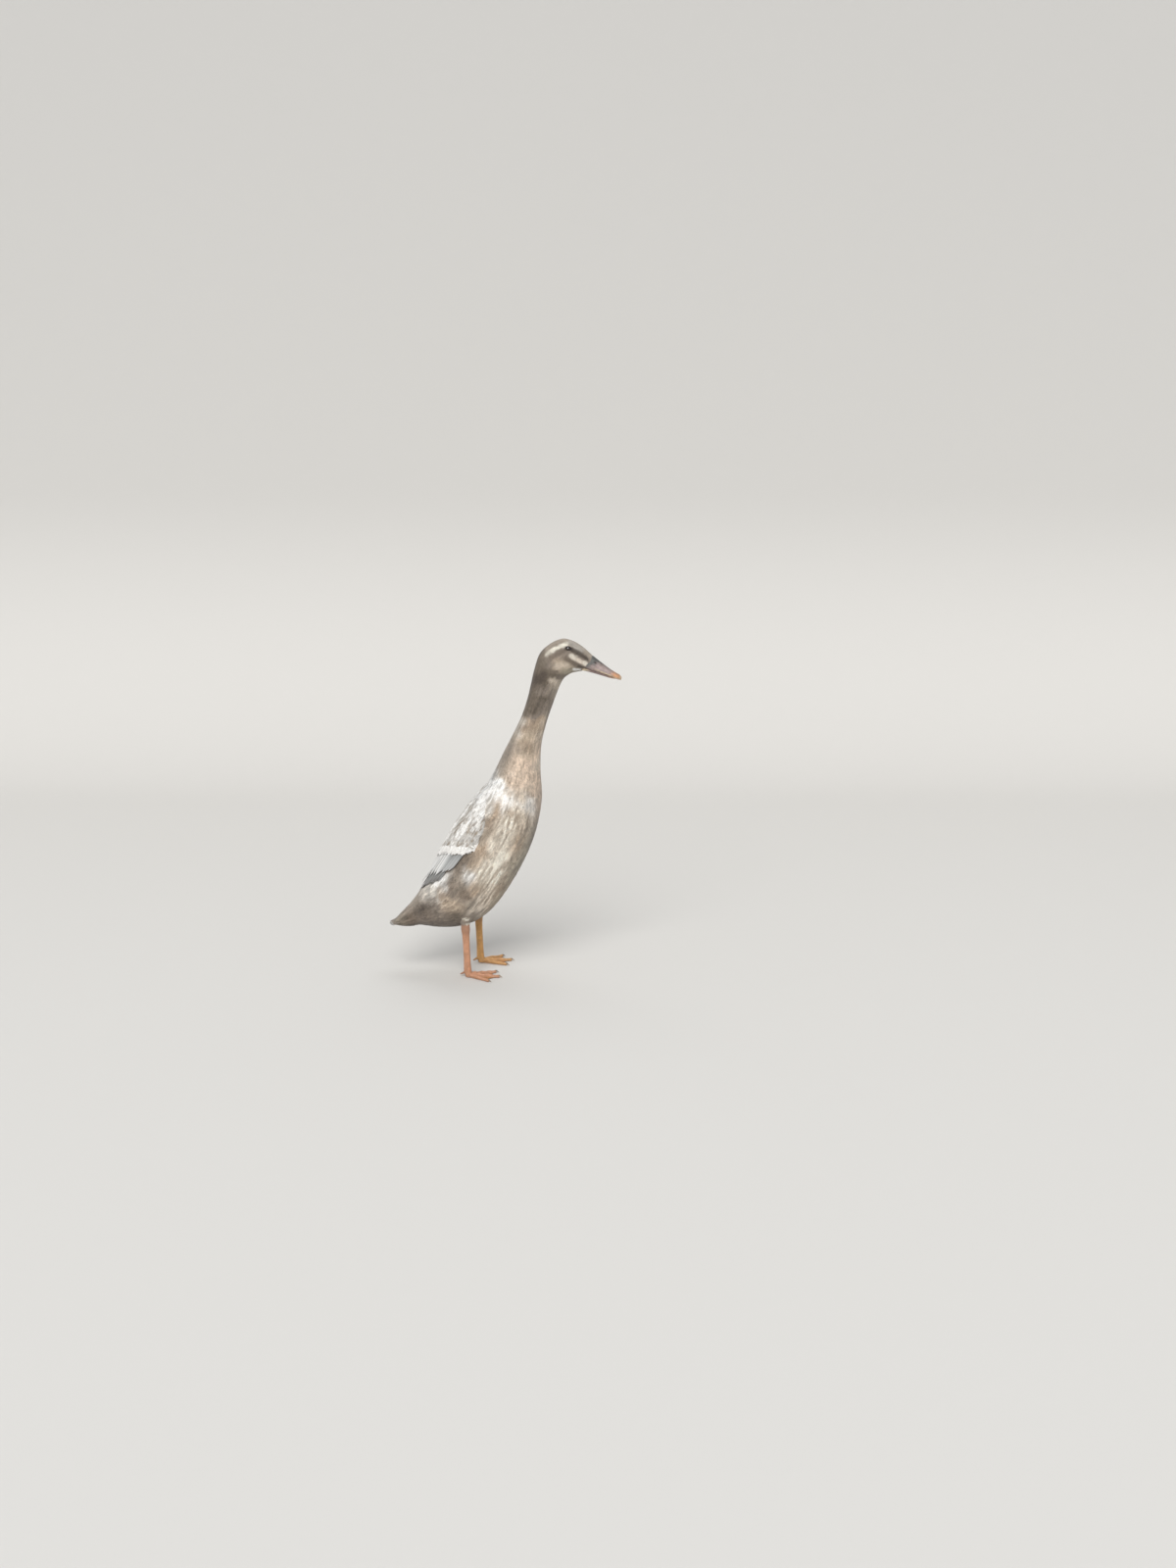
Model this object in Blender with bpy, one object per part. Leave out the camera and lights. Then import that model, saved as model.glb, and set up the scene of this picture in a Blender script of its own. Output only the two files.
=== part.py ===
"""A standing Indian runner duck at life size, as a still museum model in named parts.

Metres, +Z up, +X the way the duck faces, +Y its left side. The origin is on the floor, under the
middle of the duck's box. Run it with blender --background --python part.py.

Most forms are lofts: a row of cross-sections hung between a top rail and a bottom rail in the mid
plane. The wings, the tail coverts and the thighs are set out on the surface of those lofts.
"""
import math
from typing import NamedTuple

import bmesh
import bpy
import numpy as np
from mathutils import Matrix, Vector

MM = 0.001
GAP = 0.3 * MM                # clear space that touching parts keep
SKIN_CLEARANCE = 0.85 * MM    # from the smooth body to a part that lies on it, facets allowed for
SIDES = {"right": -1, "left": 1}
CLEAN_SOLVER = "MANIFOLD"     # the Boolean that keeps many crossing plates closed


class Station(NamedTuple):
    """A cross-section: its top and bottom points (x, z) in the mid plane, and its half width."""

    name: str
    top: tuple
    bottom: tuple
    half_width: float
    bottom_heavy: float = 0.0     # how much wider it is below its middle than above


# The body from the rump to the bill, in metres. Its outline is the plumage's own.
BODY = (
    Station("rump end", (-0.1520, 0.1150), (-0.1340, 0.0785), 0.0210),
    Station("rump", (-0.1380, 0.1342), (-0.1000, 0.0760), 0.0370),
    Station("hip", (-0.1200, 0.1628), (-0.0560, 0.0825), 0.0495, 0.04),
    Station("belly", (-0.1027, 0.1953), (-0.0190, 0.1070), 0.0555, 0.06),
    Station("middle", (-0.0790, 0.2355), (0.0160, 0.1560), 0.0565, 0.06),
    Station("low breast", (-0.0545, 0.2700), (0.0420, 0.2060), 0.0540, 0.05),
    Station("breast", (-0.0295, 0.3045), (0.0565, 0.2500), 0.0490, 0.04),
    Station("shoulder", (-0.0120, 0.3335), (0.0625, 0.2930), 0.0405, 0.02),
    Station("neck base", (0.0030, 0.3640), (0.0610, 0.3380), 0.0310),
    Station("low neck", (0.0165, 0.3900), (0.0625, 0.3750), 0.0230),
    Station("mid neck", (0.0310, 0.4190), (0.0705, 0.4090), 0.0190),
    Station("high neck", (0.0410, 0.4480), (0.0815, 0.4415), 0.0180),
    Station("nape", (0.0475, 0.4740), (0.0915, 0.4680), 0.0182),
    Station("head base", (0.0520, 0.4930), (0.0985, 0.4810), 0.0188, 0.02),
    Station("back of head", (0.0610, 0.5190), (0.1060, 0.4870), 0.0198, 0.08),
    Station("back of crown", (0.0770, 0.5345), (0.1110, 0.4896), 0.0206, 0.12),
    Station("crown", (0.0960, 0.5425), (0.1155, 0.4908), 0.0202, 0.14),
    Station("brow", (0.1120, 0.5395), (0.1190, 0.4915), 0.0180, 0.12),
    Station("forehead", (0.1270, 0.5310), (0.1225, 0.4920), 0.0148, 0.08),
    Station("bill base", (0.1440, 0.5160), (0.1270, 0.4926), 0.0112, 0.04),
)
RUMP_END, HIP, BELLY, MIDDLE, BREAST, NECK_BASE, HEAD_BASE, BILL_BASE = 0, 2, 3, 4, 6, 8, 13, 19
TORSO_RINGS_PER_STATION = 3
BODY_SEGMENTS = 28

# The tail's core, from the rump to where only the long tail feathers go on.
TAIL_CORE = (
    Station("rump end", (-0.1520, 0.1150), (-0.1340, 0.0785), 0.0210),
    Station("coverts", (-0.1620, 0.1045), (-0.1480, 0.0765), 0.0200),
    Station("feather roots", (-0.1710, 0.0950), (-0.1620, 0.0765), 0.0175),
    Station("core end", (-0.1780, 0.0875), (-0.1745, 0.0785), 0.0130),
)

# The two halves of the bill, which meet along a straight line from the gape to the tip.
UPPER_BILL = (
    Station("base", (0.1440, 0.5155), (0.1308, 0.4974), 0.0104, 0.42),
    Station("nostril", (0.1515, 0.5105), (0.1400, 0.4944), 0.0102, 0.40),
    Station("bridge", (0.1600, 0.5035), (0.1505, 0.4911), 0.0101, 0.34),
    Station("spoon", (0.1700, 0.4955), (0.1625, 0.4873), 0.0110, 0.22),
    Station("widest", (0.1785, 0.4899), (0.1735, 0.4838), 0.0118, 0.10),
    Station("near tip", (0.1845, 0.4860), (0.1818, 0.4812), 0.0098, 0.04),
    Station("tip", (0.1880, 0.4822), (0.1872, 0.4795), 0.0048),
)
LOWER_BILL = (
    Station("base", (0.1302, 0.4968), (0.1272, 0.4931), 0.0092, -0.10),
    Station("branch", (0.1396, 0.4938), (0.1380, 0.4898), 0.0090, -0.10),
    Station("bridge", (0.1502, 0.4905), (0.1490, 0.4866), 0.0090, -0.10),
    Station("spoon", (0.1622, 0.4867), (0.1612, 0.4831), 0.0098, -0.10),
    Station("widest", (0.1732, 0.4832), (0.1725, 0.4804), 0.0102, -0.10),
    Station("tip", (0.1812, 0.4806), (0.1808, 0.4788), 0.0060, -0.10),
)
BILL_SEGMENTS = 18
NOSTRIL_CENTRE = (0.1500, 0.5062)     # x, z on the side of the upper bill
NOSTRIL_SIZE = (2.9 * MM, 1.3 * MM, 1.25 * MM)
NAIL_SIZE = (4.2 * MM, 3.6 * MM, 1.5 * MM)

EYE_X, EYE_Z = 0.1050, 0.5272
EYE_RADIUS = 6.2 * MM
EYE_SUNK = 3.6 * MM          # from the head's surface in to the eyeball's centre
LID_RADIUS, LID_THICKNESS = 5.5 * MM, 0.95 * MM
LID_LENGTH, LID_HEIGHT = 1.12, 0.92     # the lids' opening is a little longer than high

# Legs: x, y of the hock and of the foot under it.
HOCK_Z = 0.0850
ANKLE_Z = 0.0110
HOCK_X = {"right": -0.0605, "left": -0.0455}
FOOT_X = {"right": -0.0585, "left": -0.0435}
LEG_Y = 0.0320
# Height, half depth along X and half width along Y of the shank, from the hock down.
SHANK_SECTIONS = (
    (HOCK_Z, 6.8 * MM, 5.6 * MM),
    (0.0810, 7.2 * MM, 6.1 * MM),
    (0.0760, 6.6 * MM, 5.4 * MM),
    (0.0700, 5.8 * MM, 4.6 * MM),
    (0.0500, 5.5 * MM, 4.3 * MM),
    (0.0300, 5.5 * MM, 4.4 * MM),
    (0.0180, 5.9 * MM, 5.0 * MM),
    (ANKLE_Z, 6.1 * MM, 5.6 * MM),
)
THIGH_TOP_Z = 0.1320
THIGH_FORWARD = 0.0150       # how far the thigh's top lies ahead of the hock
THIGH_SECTIONS = (           # share of the way down, half depth, half width
    (0.00, 19.0 * MM, 15.0 * MM),
    (0.45, 15.5 * MM, 12.5 * MM),
    (0.78, 10.5 * MM, 9.0 * MM),
    (1.00, 8.2 * MM, 6.9 * MM),
)
LEG_SEGMENTS = 16

TOE_LENGTHS = {"inner": 0.0430, "middle": 0.0520, "outer": 0.0475}
TOE_SPREAD = {"inner": 27.0, "middle": 0.0, "outer": -25.0}    # degrees, for the left foot
TOE_JOINTS = {"inner": 2, "middle": 3, "outer": 4}
TOE_ROOT_RADIUS, TOE_TIP_RADIUS = 4.0 * MM, 2.3 * MM
CLAW_LENGTH, CLAW_RADIUS = 6.5 * MM, 1.45 * MM
WEB_BOTTOM, WEB_TOP = 0.9 * MM, 2.0 * MM
SOLE_PRESS = 0.5 * MM         # how far the toes' undersides are pressed flat by the floor
HIND_TOE_LENGTH, HIND_TOE_RADIUS = 9.0 * MM, 2.1 * MM
FOOT_TURN = {"right": -6.0, "left": 6.0}      # degrees, toes outward


def blended(values, place):
    """A smooth curve through rows of values, read at a place counted in rows."""
    rows = np.asarray(values, float)
    last = len(rows) - 1
    i = int(min(max(math.floor(place), 0), last - 1))
    t = place - i
    before = rows[i - 1] if i > 0 else 2 * rows[0] - rows[1]
    after = rows[i + 2] if i + 2 <= last else 2 * rows[last] - rows[last - 1]
    start, end = rows[i], rows[i + 1]
    slope_in, slope_out = (end - before) / 2, (after - start) / 2
    return (
        (2 * t**3 - 3 * t**2 + 1) * start
        + (t**3 - 2 * t**2 + t) * slope_in
        + (3 * t**2 - 2 * t**3) * end
        + (t**3 - t**2) * slope_out
    )


class Form:
    """A smooth form between a top rail and a bottom rail. Angle 0 is its top line, + is leftward."""

    def __init__(self, stations):
        self.rows = [(*s.top, *s.bottom, s.half_width, s.bottom_heavy) for s in stations]

    def section(self, place):
        top_x, top_z, bottom_x, bottom_z, half_width, heavy = blended(self.rows, place)
        top, bottom = np.array([top_x, 0, top_z]), np.array([bottom_x, 0, bottom_z])
        half_depth = np.linalg.norm(top - bottom) / 2
        up = (top - bottom) / (2 * half_depth)
        return (top + bottom) / 2, up, half_depth, half_width, heavy

    def forward(self, place):
        """The direction across the section, towards the next one."""
        up = self.section(place)[1]
        return np.array([up[2], 0, -up[0]]) * self.sense

    @property
    def sense(self):
        """1 where the sections run forward along X, and -1 where they run back."""
        return 1 if self.rows[-1][0] > self.rows[0][0] else -1

    def point(self, place, angle):
        centre, up, half_depth, half_width, heavy = self.section(place)
        across = half_width * math.sin(angle) * (1 - heavy * math.cos(angle))
        return centre + up * half_depth * math.cos(angle) + np.array([0, across, 0])

    def lifted(self, place, angle, lift):
        """A point that far off the surface, square to it."""
        step = 0.01
        along = self.point(place + step, angle) - self.point(place - step, angle)
        round_it = self.point(place, angle + step) - self.point(place, angle - step)
        outward = np.cross(along, round_it) * self.sense
        return self.point(place, angle) + outward / np.linalg.norm(outward) * lift

    def ring(self, place, segments, shift=0.0, lift=0.0):
        """One section's outline, moved along the form by shift."""
        moved = self.forward(place) * shift
        angles = [math.tau * k / segments for k in range(segments)]
        if not lift:
            return [self.point(place, a) + moved for a in angles]
        return [self.lifted(place, a, lift) + moved for a in angles]


def material(name, colour, roughness, metallic=0.0):
    made = bpy.data.materials.new(name)
    made.use_nodes = True
    shader = made.node_tree.nodes["Principled BSDF"]
    shader.inputs["Base Color"].default_value = (*colour, 1.0)
    shader.inputs["Roughness"].default_value = roughness
    shader.inputs["Metallic"].default_value = metallic
    made.diffuse_color = (*colour, 1.0)
    return made


def add_mesh(name, points, faces, collection):
    """A mesh object with its faces turned outward."""
    mesh = bpy.data.meshes.new(name)
    mesh.from_pydata([tuple(p) for p in points], [], faces)
    shape = bmesh.new()
    shape.from_mesh(mesh)
    bmesh.ops.recalc_face_normals(shape, faces=shape.faces)
    shape.to_mesh(mesh)
    shape.free()
    made = bpy.data.objects.new(name, mesh)
    collection.objects.link(made)
    return made


def loft(name, rings, collection):
    """A closed form through rings of equal count, with flat ends."""
    count = len(rings[0])
    points = [p for ring in rings for p in ring]
    faces = []
    for i in range(len(rings) - 1):
        for k in range(count):
            a, b = i * count + k, i * count + (k + 1) % count
            faces.append((a, b, b + count, a + count))
    faces.append(tuple(range(count)))
    faces.append(tuple(range(len(points) - count, len(points))))
    return add_mesh(name, points, faces, collection)


def plate(name, rows, thickness_of, place_of, collection):
    """A thin closed plate. rows are lists of (u, v, w); w is the top face's height, place_of maps
    them to space, and thickness_of gives the thickness at (row, column). Both faces are split
    into triangles alike, so that they can't cross where the plate curves."""
    wide = len(rows[0])
    upper = [place_of(*p) for row in rows for p in row]
    lower = [
        place_of(u, v, w - thickness_of(i, k))
        for i, row in enumerate(rows)
        for k, (u, v, w) in enumerate(row)
    ]
    below = len(upper)
    faces = []
    for i in range(len(rows) - 1):
        for k in range(wide - 1):
            a, b = i * wide + k, i * wide + k + 1
            c, d = b + wide, a + wide
            faces += [(a, b, c), (a, c, d)]
            faces += [(a + below, c + below, b + below), (a + below, d + below, c + below)]
    rim = [k for k in range(wide)]
    rim += [i * wide + wide - 1 for i in range(1, len(rows))]
    rim += [(len(rows) - 1) * wide + k for k in range(wide - 2, -1, -1)]
    rim += [i * wide for i in range(len(rows) - 2, 0, -1)]
    for a, b in zip(rim, rim[1:] + rim[:1]):
        faces += [(b, a, a + below), (b, a + below, b + below)]
    return add_mesh(name, upper + lower, faces, collection)


def vane(name, place_of, root, tip, half_widths, lifts, lean, thickness, parts, pointed=0.4, rows=4):
    """A feather's vane as a thin plate from root to tip, both (u, v) in place_of's own units.

    half_widths are in the units of v at the root and the tip, lifts are the heights there, lean
    raises the edge at +v over the next feather's, and pointed is the share of width the tip keeps."""
    made = []
    for i in range(rows):
        t = i / (rows - 1)
        u = root[0] + (tip[0] - root[0]) * t
        v = root[1] + (tip[1] - root[1]) * t
        close = 1.0 if t < 0.7 else 1 - (1 - pointed) * ((t - 0.7) / 0.3) ** 1.6
        wide = (half_widths[0] + (half_widths[1] - half_widths[0]) * t) * close
        height = lifts[0] + (lifts[1] - lifts[0]) * t**0.8
        back = 0.08 * (tip[0] - root[0]) * max(0.0, (t - 0.7) / 0.3)
        made.append([
            (u - back, v - wide, height - lean * close),
            (u, v, height),
            (u - back, v + wide, height + lean * close),
        ])
    return plate(name, made, lambda i, k: thickness, place_of, parts)


def evaluated_copy(source, name):
    """The mesh of an object with its modifiers applied, as a new mesh."""
    bpy.context.view_layer.update()
    graph = bpy.context.evaluated_depsgraph_get()
    made = bpy.data.meshes.new_from_object(source.evaluated_get(graph))
    made.name = name
    return made


def keep_largest_surface(target):
    """Drops loose scraps and sealed hollows that a Boolean can leave."""
    shape = bmesh.new()
    shape.from_mesh(target.data)
    shape.faces.ensure_lookup_table()
    unseen = set(range(len(shape.faces)))
    islands = []
    while unseen:
        found, edge_of_search = [], [unseen.pop()]
        while edge_of_search:
            index = edge_of_search.pop()
            found.append(index)
            for edge in shape.faces[index].edges:
                for face in edge.link_faces:
                    if face.index in unseen:
                        unseen.remove(face.index)
                        edge_of_search.append(face.index)
        islands.append(found)
    keep = set(max(islands, key=lambda ids: sum(shape.faces[i].calc_area() for i in ids)))
    dropped = [f for f in shape.faces if f.index not in keep]
    bmesh.ops.delete(shape, geom=dropped, context="FACES")
    loose = [v for v in shape.verts if not v.link_faces]
    bmesh.ops.delete(shape, geom=loose, context="VERTS")
    shape.to_mesh(target.data)
    shape.free()


def combined(target, others, operation, solver="EXACT"):
    """Joins others to target, or cuts them from it, and removes them."""
    group = bpy.data.collections.new(f"{target.name} {operation.lower()}")
    bpy.context.scene.collection.children.link(group)
    for other in others:
        for holder in list(other.users_collection):
            holder.objects.unlink(other)
        group.objects.link(other)
    join = target.modifiers.new(operation.lower(), "BOOLEAN")
    join.operation = operation
    join.operand_type = "COLLECTION"
    join.collection = group
    join.solver = solver
    made = evaluated_copy(target, target.name)
    target.modifiers.clear()
    target.data = made
    for other in others:
        bpy.data.objects.remove(other)
    bpy.data.collections.remove(group)
    keep_largest_surface(target)
    return target


def finish(target, look, smooth_angle=40.0):
    target.data.materials.clear()
    target.data.materials.append(look)
    target.data.shade_smooth()
    target.data.set_sharp_from_angle(angle=math.radians(smooth_angle))
    return target


def ellipsoid(name, centre, radii, collection, turn=None, segments=16, rings=10):
    """A sphere primitive scaled to three radii, turned and moved, with the scale in its mesh."""
    bpy.ops.mesh.primitive_uv_sphere_add(segments=segments, ring_count=rings, radius=1.0)
    made = bpy.context.object
    made.name = name
    placed = Matrix.Translation(Vector(centre)) @ (turn or Matrix.Identity(4))
    made.data.transform(placed @ Matrix.Diagonal((*radii, 1.0)))
    for holder in list(made.users_collection):
        holder.objects.unlink(made)
    collection.objects.link(made)
    return made


def body_span(form, first, last, rings_per_station, segments, start_gap=0.0, end_gap=0.0, lift=0.0):
    """Rings from one station to another, with the end rings drawn back by the gaps."""
    steps = round((last - first) * rings_per_station)
    rings = []
    for i in range(steps + 1):
        shift = start_gap if i == 0 else -end_gap if i == steps else 0.0
        rings.append(form.ring(first + (last - first) * i / steps, segments, shift, lift))
    return rings


def make_torso(body, parts):
    rings = body_span(body, RUMP_END, NECK_BASE, TORSO_RINGS_PER_STATION, BODY_SEGMENTS)
    return loft("torso", rings, parts)


def torso_sheath(body, parts):
    """The torso grown by the gap, to cut what meets it."""
    rings = body_span(body, RUMP_END, NECK_BASE, TORSO_RINGS_PER_STATION, 2 * BODY_SEGMENTS, lift=GAP)
    return loft("torso sheath", rings, parts)


def make_neck(body, parts):
    rings = body_span(body, NECK_BASE, HEAD_BASE, 2.4, 20, start_gap=GAP)
    return loft("neck", rings, parts)


def eye_centre(body, side):
    """The eyeball's centre, and the way out of the head there."""
    best = min(
        ((s, a) for s in np.arange(16.0, 18.0, 0.02) for a in np.arange(0.6, 2.2, 0.02)),
        key=lambda sa: np.hypot(*(body.point(*sa)[[0, 2]] - (EYE_X, EYE_Z))),
    )
    surface = body.point(best[0], best[1] * side)
    outward = (body.lifted(best[0], best[1] * side, MM) - surface) / MM
    return Vector(surface - outward * EYE_SUNK), Vector(outward)


def make_lid(body, side, parts):
    """The rim of the eyelids, as a ring on the head round the eye."""
    centre, outward = eye_centre(body, side)
    bpy.ops.mesh.primitive_torus_add(
        major_segments=16, minor_segments=6, major_radius=LID_RADIUS, minor_radius=LID_THICKNESS
    )
    lid = bpy.context.object
    turn = outward.to_track_quat("Z", "Y").to_matrix().to_4x4()
    stretch = Matrix.Diagonal((LID_LENGTH, LID_HEIGHT, 1.0, 1.0))
    lid.data.transform(Matrix.Translation(centre + outward * EYE_SUNK * 0.86) @ turn @ stretch)
    for holder in list(lid.users_collection):
        holder.objects.unlink(lid)
    parts.objects.link(lid)
    return lid


def make_head(body, parts):
    rings = body_span(body, HEAD_BASE, BILL_BASE, 2.5, 22, start_gap=GAP)
    head = loft("head", rings, parts)
    combined(head, [make_lid(body, side, parts) for side in SIDES.values()], "UNION")
    sockets = [
        ellipsoid("socket", eye_centre(body, side)[0], (EYE_RADIUS + GAP,) * 3, parts, None, 14, 8)
        for side in SIDES.values()
    ]
    return combined(head, sockets, "DIFFERENCE")


def make_eye(body, name, side, parts):
    return ellipsoid(f"eye_{name}", eye_centre(body, side)[0], (EYE_RADIUS,) * 3, parts, None, 12, 8)


def make_upper_bill(parts):
    form = Form(UPPER_BILL)
    rings = body_span(form, 0, len(UPPER_BILL) - 1, 2, BILL_SEGMENTS, start_gap=GAP)
    bill = loft("bill_upper", rings, parts)
    tip = UPPER_BILL[-2]
    nail_turn = Matrix.Rotation(math.radians(38), 4, "Y")
    nail = ellipsoid("nail", (tip.top[0] - 0.0006, 0, tip.top[1] - 0.0010), NAIL_SIZE, parts, nail_turn, 12, 8)
    combined(bill, [nail], "UNION")
    nostrils = []
    for side in SIDES.values():
        place, angle = min(
            ((s, a) for s in np.arange(0.2, 2.0, 0.02) for a in np.arange(0.2, 1.6, 0.02)),
            key=lambda sa: np.hypot(*(form.point(*sa)[[0, 2]] - NOSTRIL_CENTRE)),
        )
        centre = form.point(place, angle * side)
        outward = Vector(form.lifted(place, angle * side, MM) - centre)
        along = Vector(form.forward(place))
        turn = Matrix((along, outward.cross(along).normalized(), outward.normalized())).transposed()
        nostrils.append(ellipsoid("nostril", centre, NOSTRIL_SIZE, parts, turn.to_4x4(), 12, 8))
    return combined(bill, nostrils, "DIFFERENCE")


def make_lower_bill(parts):
    form = Form(LOWER_BILL)
    rings = body_span(form, 0, len(LOWER_BILL) - 1, 2, BILL_SEGMENTS, start_gap=GAP)
    return loft("bill_lower", rings, parts)


def along_leg(name, z):
    """The leg's middle line at a height between the foot and the hock."""
    share = (z - ANKLE_Z) / (HOCK_Z - ANKLE_Z)
    x = FOOT_X[name] + (HOCK_X[name] - FOOT_X[name]) * share
    return np.array([x, SIDES[name] * LEG_Y, z])


def oval_ring(centre, half_depth, half_width, segments=LEG_SEGMENTS):
    return [
        centre + np.array([half_depth * math.cos(a), half_width * math.sin(a), 0])
        for a in (math.tau * k / segments for k in range(segments))
    ]


def make_shank(body, name, parts):
    rings = []
    for i, (z, half_depth, half_width) in enumerate(SHANK_SECTIONS):
        lowered = GAP if i == 0 else 0.0
        rings.append(oval_ring(along_leg(name, z - lowered), half_depth, half_width))
    shank = loft(f"shank_{name}", rings, parts)
    return combined(shank, [torso_sheath(body, parts)], "DIFFERENCE")


def make_thigh(body, name, parts):
    """The feathered end of the drumstick, cut clear of the torso that it comes out of."""
    bottom = along_leg(name, HOCK_Z)
    top = bottom + np.array([THIGH_FORWARD, SIDES[name] * 2 * MM, THIGH_TOP_Z - HOCK_Z])
    rings = [
        oval_ring(top + (bottom - top) * share, half_depth, half_width)
        for share, half_depth, half_width in THIGH_SECTIONS
    ]
    thigh = loft(f"thigh_{name}", rings, parts)
    return combined(thigh, [torso_sheath(body, parts)], "DIFFERENCE")


def toe_ring(centre, side_way, radius, segments=9):
    """A toe's section, square to the floor."""
    up = np.array([0, 0, radius])
    angles = [math.tau * k / segments for k in range(segments)]
    return [centre + side_way * radius * math.cos(a) + up * math.sin(a) for a in angles]


def toe_direction(degrees):
    return np.array([math.cos(math.radians(degrees)), math.sin(math.radians(degrees)), 0.0])


def make_toe(toe, spread, parts):
    """A toe in the foot's own frame, thicker at its joints, with its claw."""
    way = toe_direction(spread)
    side_way = np.array([-way[1], way[0], 0.0])
    length, joints = TOE_LENGTHS[toe], TOE_JOINTS[toe]
    rings = []
    steps = 2 * joints
    for i in range(steps + 1):
        t = i / steps
        radius = TOE_ROOT_RADIUS + (TOE_TIP_RADIUS - TOE_ROOT_RADIUS) * t
        radius *= 1.0 + (0.10 if i % 2 == 0 else -0.06)
        height = radius * 0.90 - SOLE_PRESS
        rings.append(toe_ring(way * length * t + np.array([0, 0, height]), side_way, radius))
    claw = []
    for t in (0.0, 0.5, 1.0):
        radius = CLAW_RADIUS * (1 - 0.80 * t)
        reach = length - 1.5 * MM + CLAW_LENGTH * t
        height = TOE_TIP_RADIUS * 0.9 * (1 - t**2) + radius + 0.2 * MM
        claw.append(toe_ring(way * reach + np.array([0, 0, height]), side_way, radius, 6))
    return [loft(toe, rings, parts), loft(f"{toe} claw", claw, parts)]


def make_web(side, parts):
    """The skin between the front toes, a flat plate with a hollowed front edge."""
    corners = []
    names = ["outer", "middle", "inner"]
    reach = 0.93
    for first, second in zip(names, names[1:]):
        start = TOE_SPREAD[first] * side
        end = TOE_SPREAD[second] * side
        for k in range(4):
            t = k / 4
            length = TOE_LENGTHS[first] + (TOE_LENGTHS[second] - TOE_LENGTHS[first]) * t
            hollow = 1 - 0.17 * math.sin(math.pi * t)
            corners.append(toe_direction(start + (end - start) * t) * length * reach * hollow)
    corners.append(toe_direction(TOE_SPREAD["inner"] * side) * TOE_LENGTHS["inner"] * reach)
    heel = -np.array([0.002, 0, 0])
    points = [p + np.array([0, 0, z]) for z in (WEB_TOP, WEB_BOTTOM) for p in [heel, *corners]]
    count = len(corners) + 1
    faces = []
    for k in range(1, count - 1):
        faces += [(0, k, k + 1), (count, count + k + 1, count + k)]
    for k in range(count):
        after = (k + 1) % count
        faces.append((k, after, after + count, k + count))
    return add_mesh("web", points, faces, parts)


def make_hind_toe(parts):
    """The small hind toe, which hangs clear of the floor."""
    start = np.array([-3.5 * MM, 0, 8.0 * MM])
    end = start + np.array([-HIND_TOE_LENGTH, 0, -4.2 * MM])
    side_way = np.array([0, 1.0, 0])
    rings = []
    for t in (0.0, 0.3, 0.6, 0.85, 1.0):
        radius = HIND_TOE_RADIUS * (1 - 0.55 * t**2)
        rings.append(toe_ring(start + (end - start) * t, side_way, radius, 8))
    return loft("hind toe", rings, parts)


def floor_block(parts):
    """All that is under the floor, to press the soles flat at one level."""
    reach, depth = 0.1, 0.01
    corners = [(-reach, -reach), (reach, -reach), (reach, reach), (-reach, reach)]
    rings = [[np.array([x, y, z]) for x, y in corners] for z in (-depth, 0.0)]
    return loft("floor block", rings, parts)


def make_foot(name, parts):
    """A webbed foot: ankle, three toes with claws, the web and the hind toe, flat on the floor."""
    side = SIDES[name]
    _, ankle_depth, ankle_width = SHANK_SECTIONS[-1]
    ankle_sections = (           # height, shift forward, half depth, half width
        (ANKLE_Z - GAP, 0.0, ankle_depth, ankle_width),
        (7.5 * MM, 0.6 * MM, 6.6 * MM, 6.2 * MM),
        (3.6 * MM, 2.0 * MM, 7.4 * MM, 7.0 * MM),
        (-SOLE_PRESS, 2.4 * MM, 6.2 * MM, 5.8 * MM),
    )
    rings = [
        oval_ring(np.array([shift, 0, z]), half_depth, half_width)
        for z, shift, half_depth, half_width in ankle_sections
    ]
    foot = loft(f"foot_{name}", rings, parts)
    pieces = [make_web(side, parts), make_hind_toe(parts)]
    for toe, spread in TOE_SPREAD.items():
        pieces += make_toe(toe, spread * side, parts)
    combined(foot, pieces, "UNION", CLEAN_SOLVER)
    combined(foot, [floor_block(parts)], "DIFFERENCE", CLEAN_SOLVER)
    turn = Matrix.Rotation(math.radians(FOOT_TURN[name]), 4, "Z")
    foot.data.transform(Matrix.Translation((FOOT_X[name], side * LEG_Y, 0)) @ turn)
    return foot


# The folded wing, set out on the torso: places are counted in the body's stations, from the
# shoulder back to the rump, and angles are degrees round the body from the middle of the back.
WING_EDGES = (        # place, inner edge, outer edge, thickness of the pad under the feathers
    (6.55, 15.0, 26.0, 2.0 * MM),
    (6.20, 12.0, 38.0, 2.6 * MM),
    (5.60, 9.0, 54.0, 3.2 * MM),
    (5.00, 7.0, 65.0, 3.4 * MM),
    (4.40, 5.5, 69.0, 3.4 * MM),
    (3.80, 5.0, 67.0, 3.2 * MM),
    (3.20, 5.0, 62.0, 2.6 * MM),
    (2.65, 6.0, 56.0, 1.8 * MM),
)
PAD_COLUMNS = 9


class Tier(NamedTuple):
    """A row of wing feathers. Pairs are the innermost feather's value and the outermost's."""

    name: str
    count: int
    root_places: tuple
    tip_places: tuple
    root_angles: tuple
    tip_angles: tuple
    lifts: tuple              # off the body at the root and at the tip
    lean: float
    thickness: float = 0.7 * MM
    pointed: float = 0.45
    rows: int = 4


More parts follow.
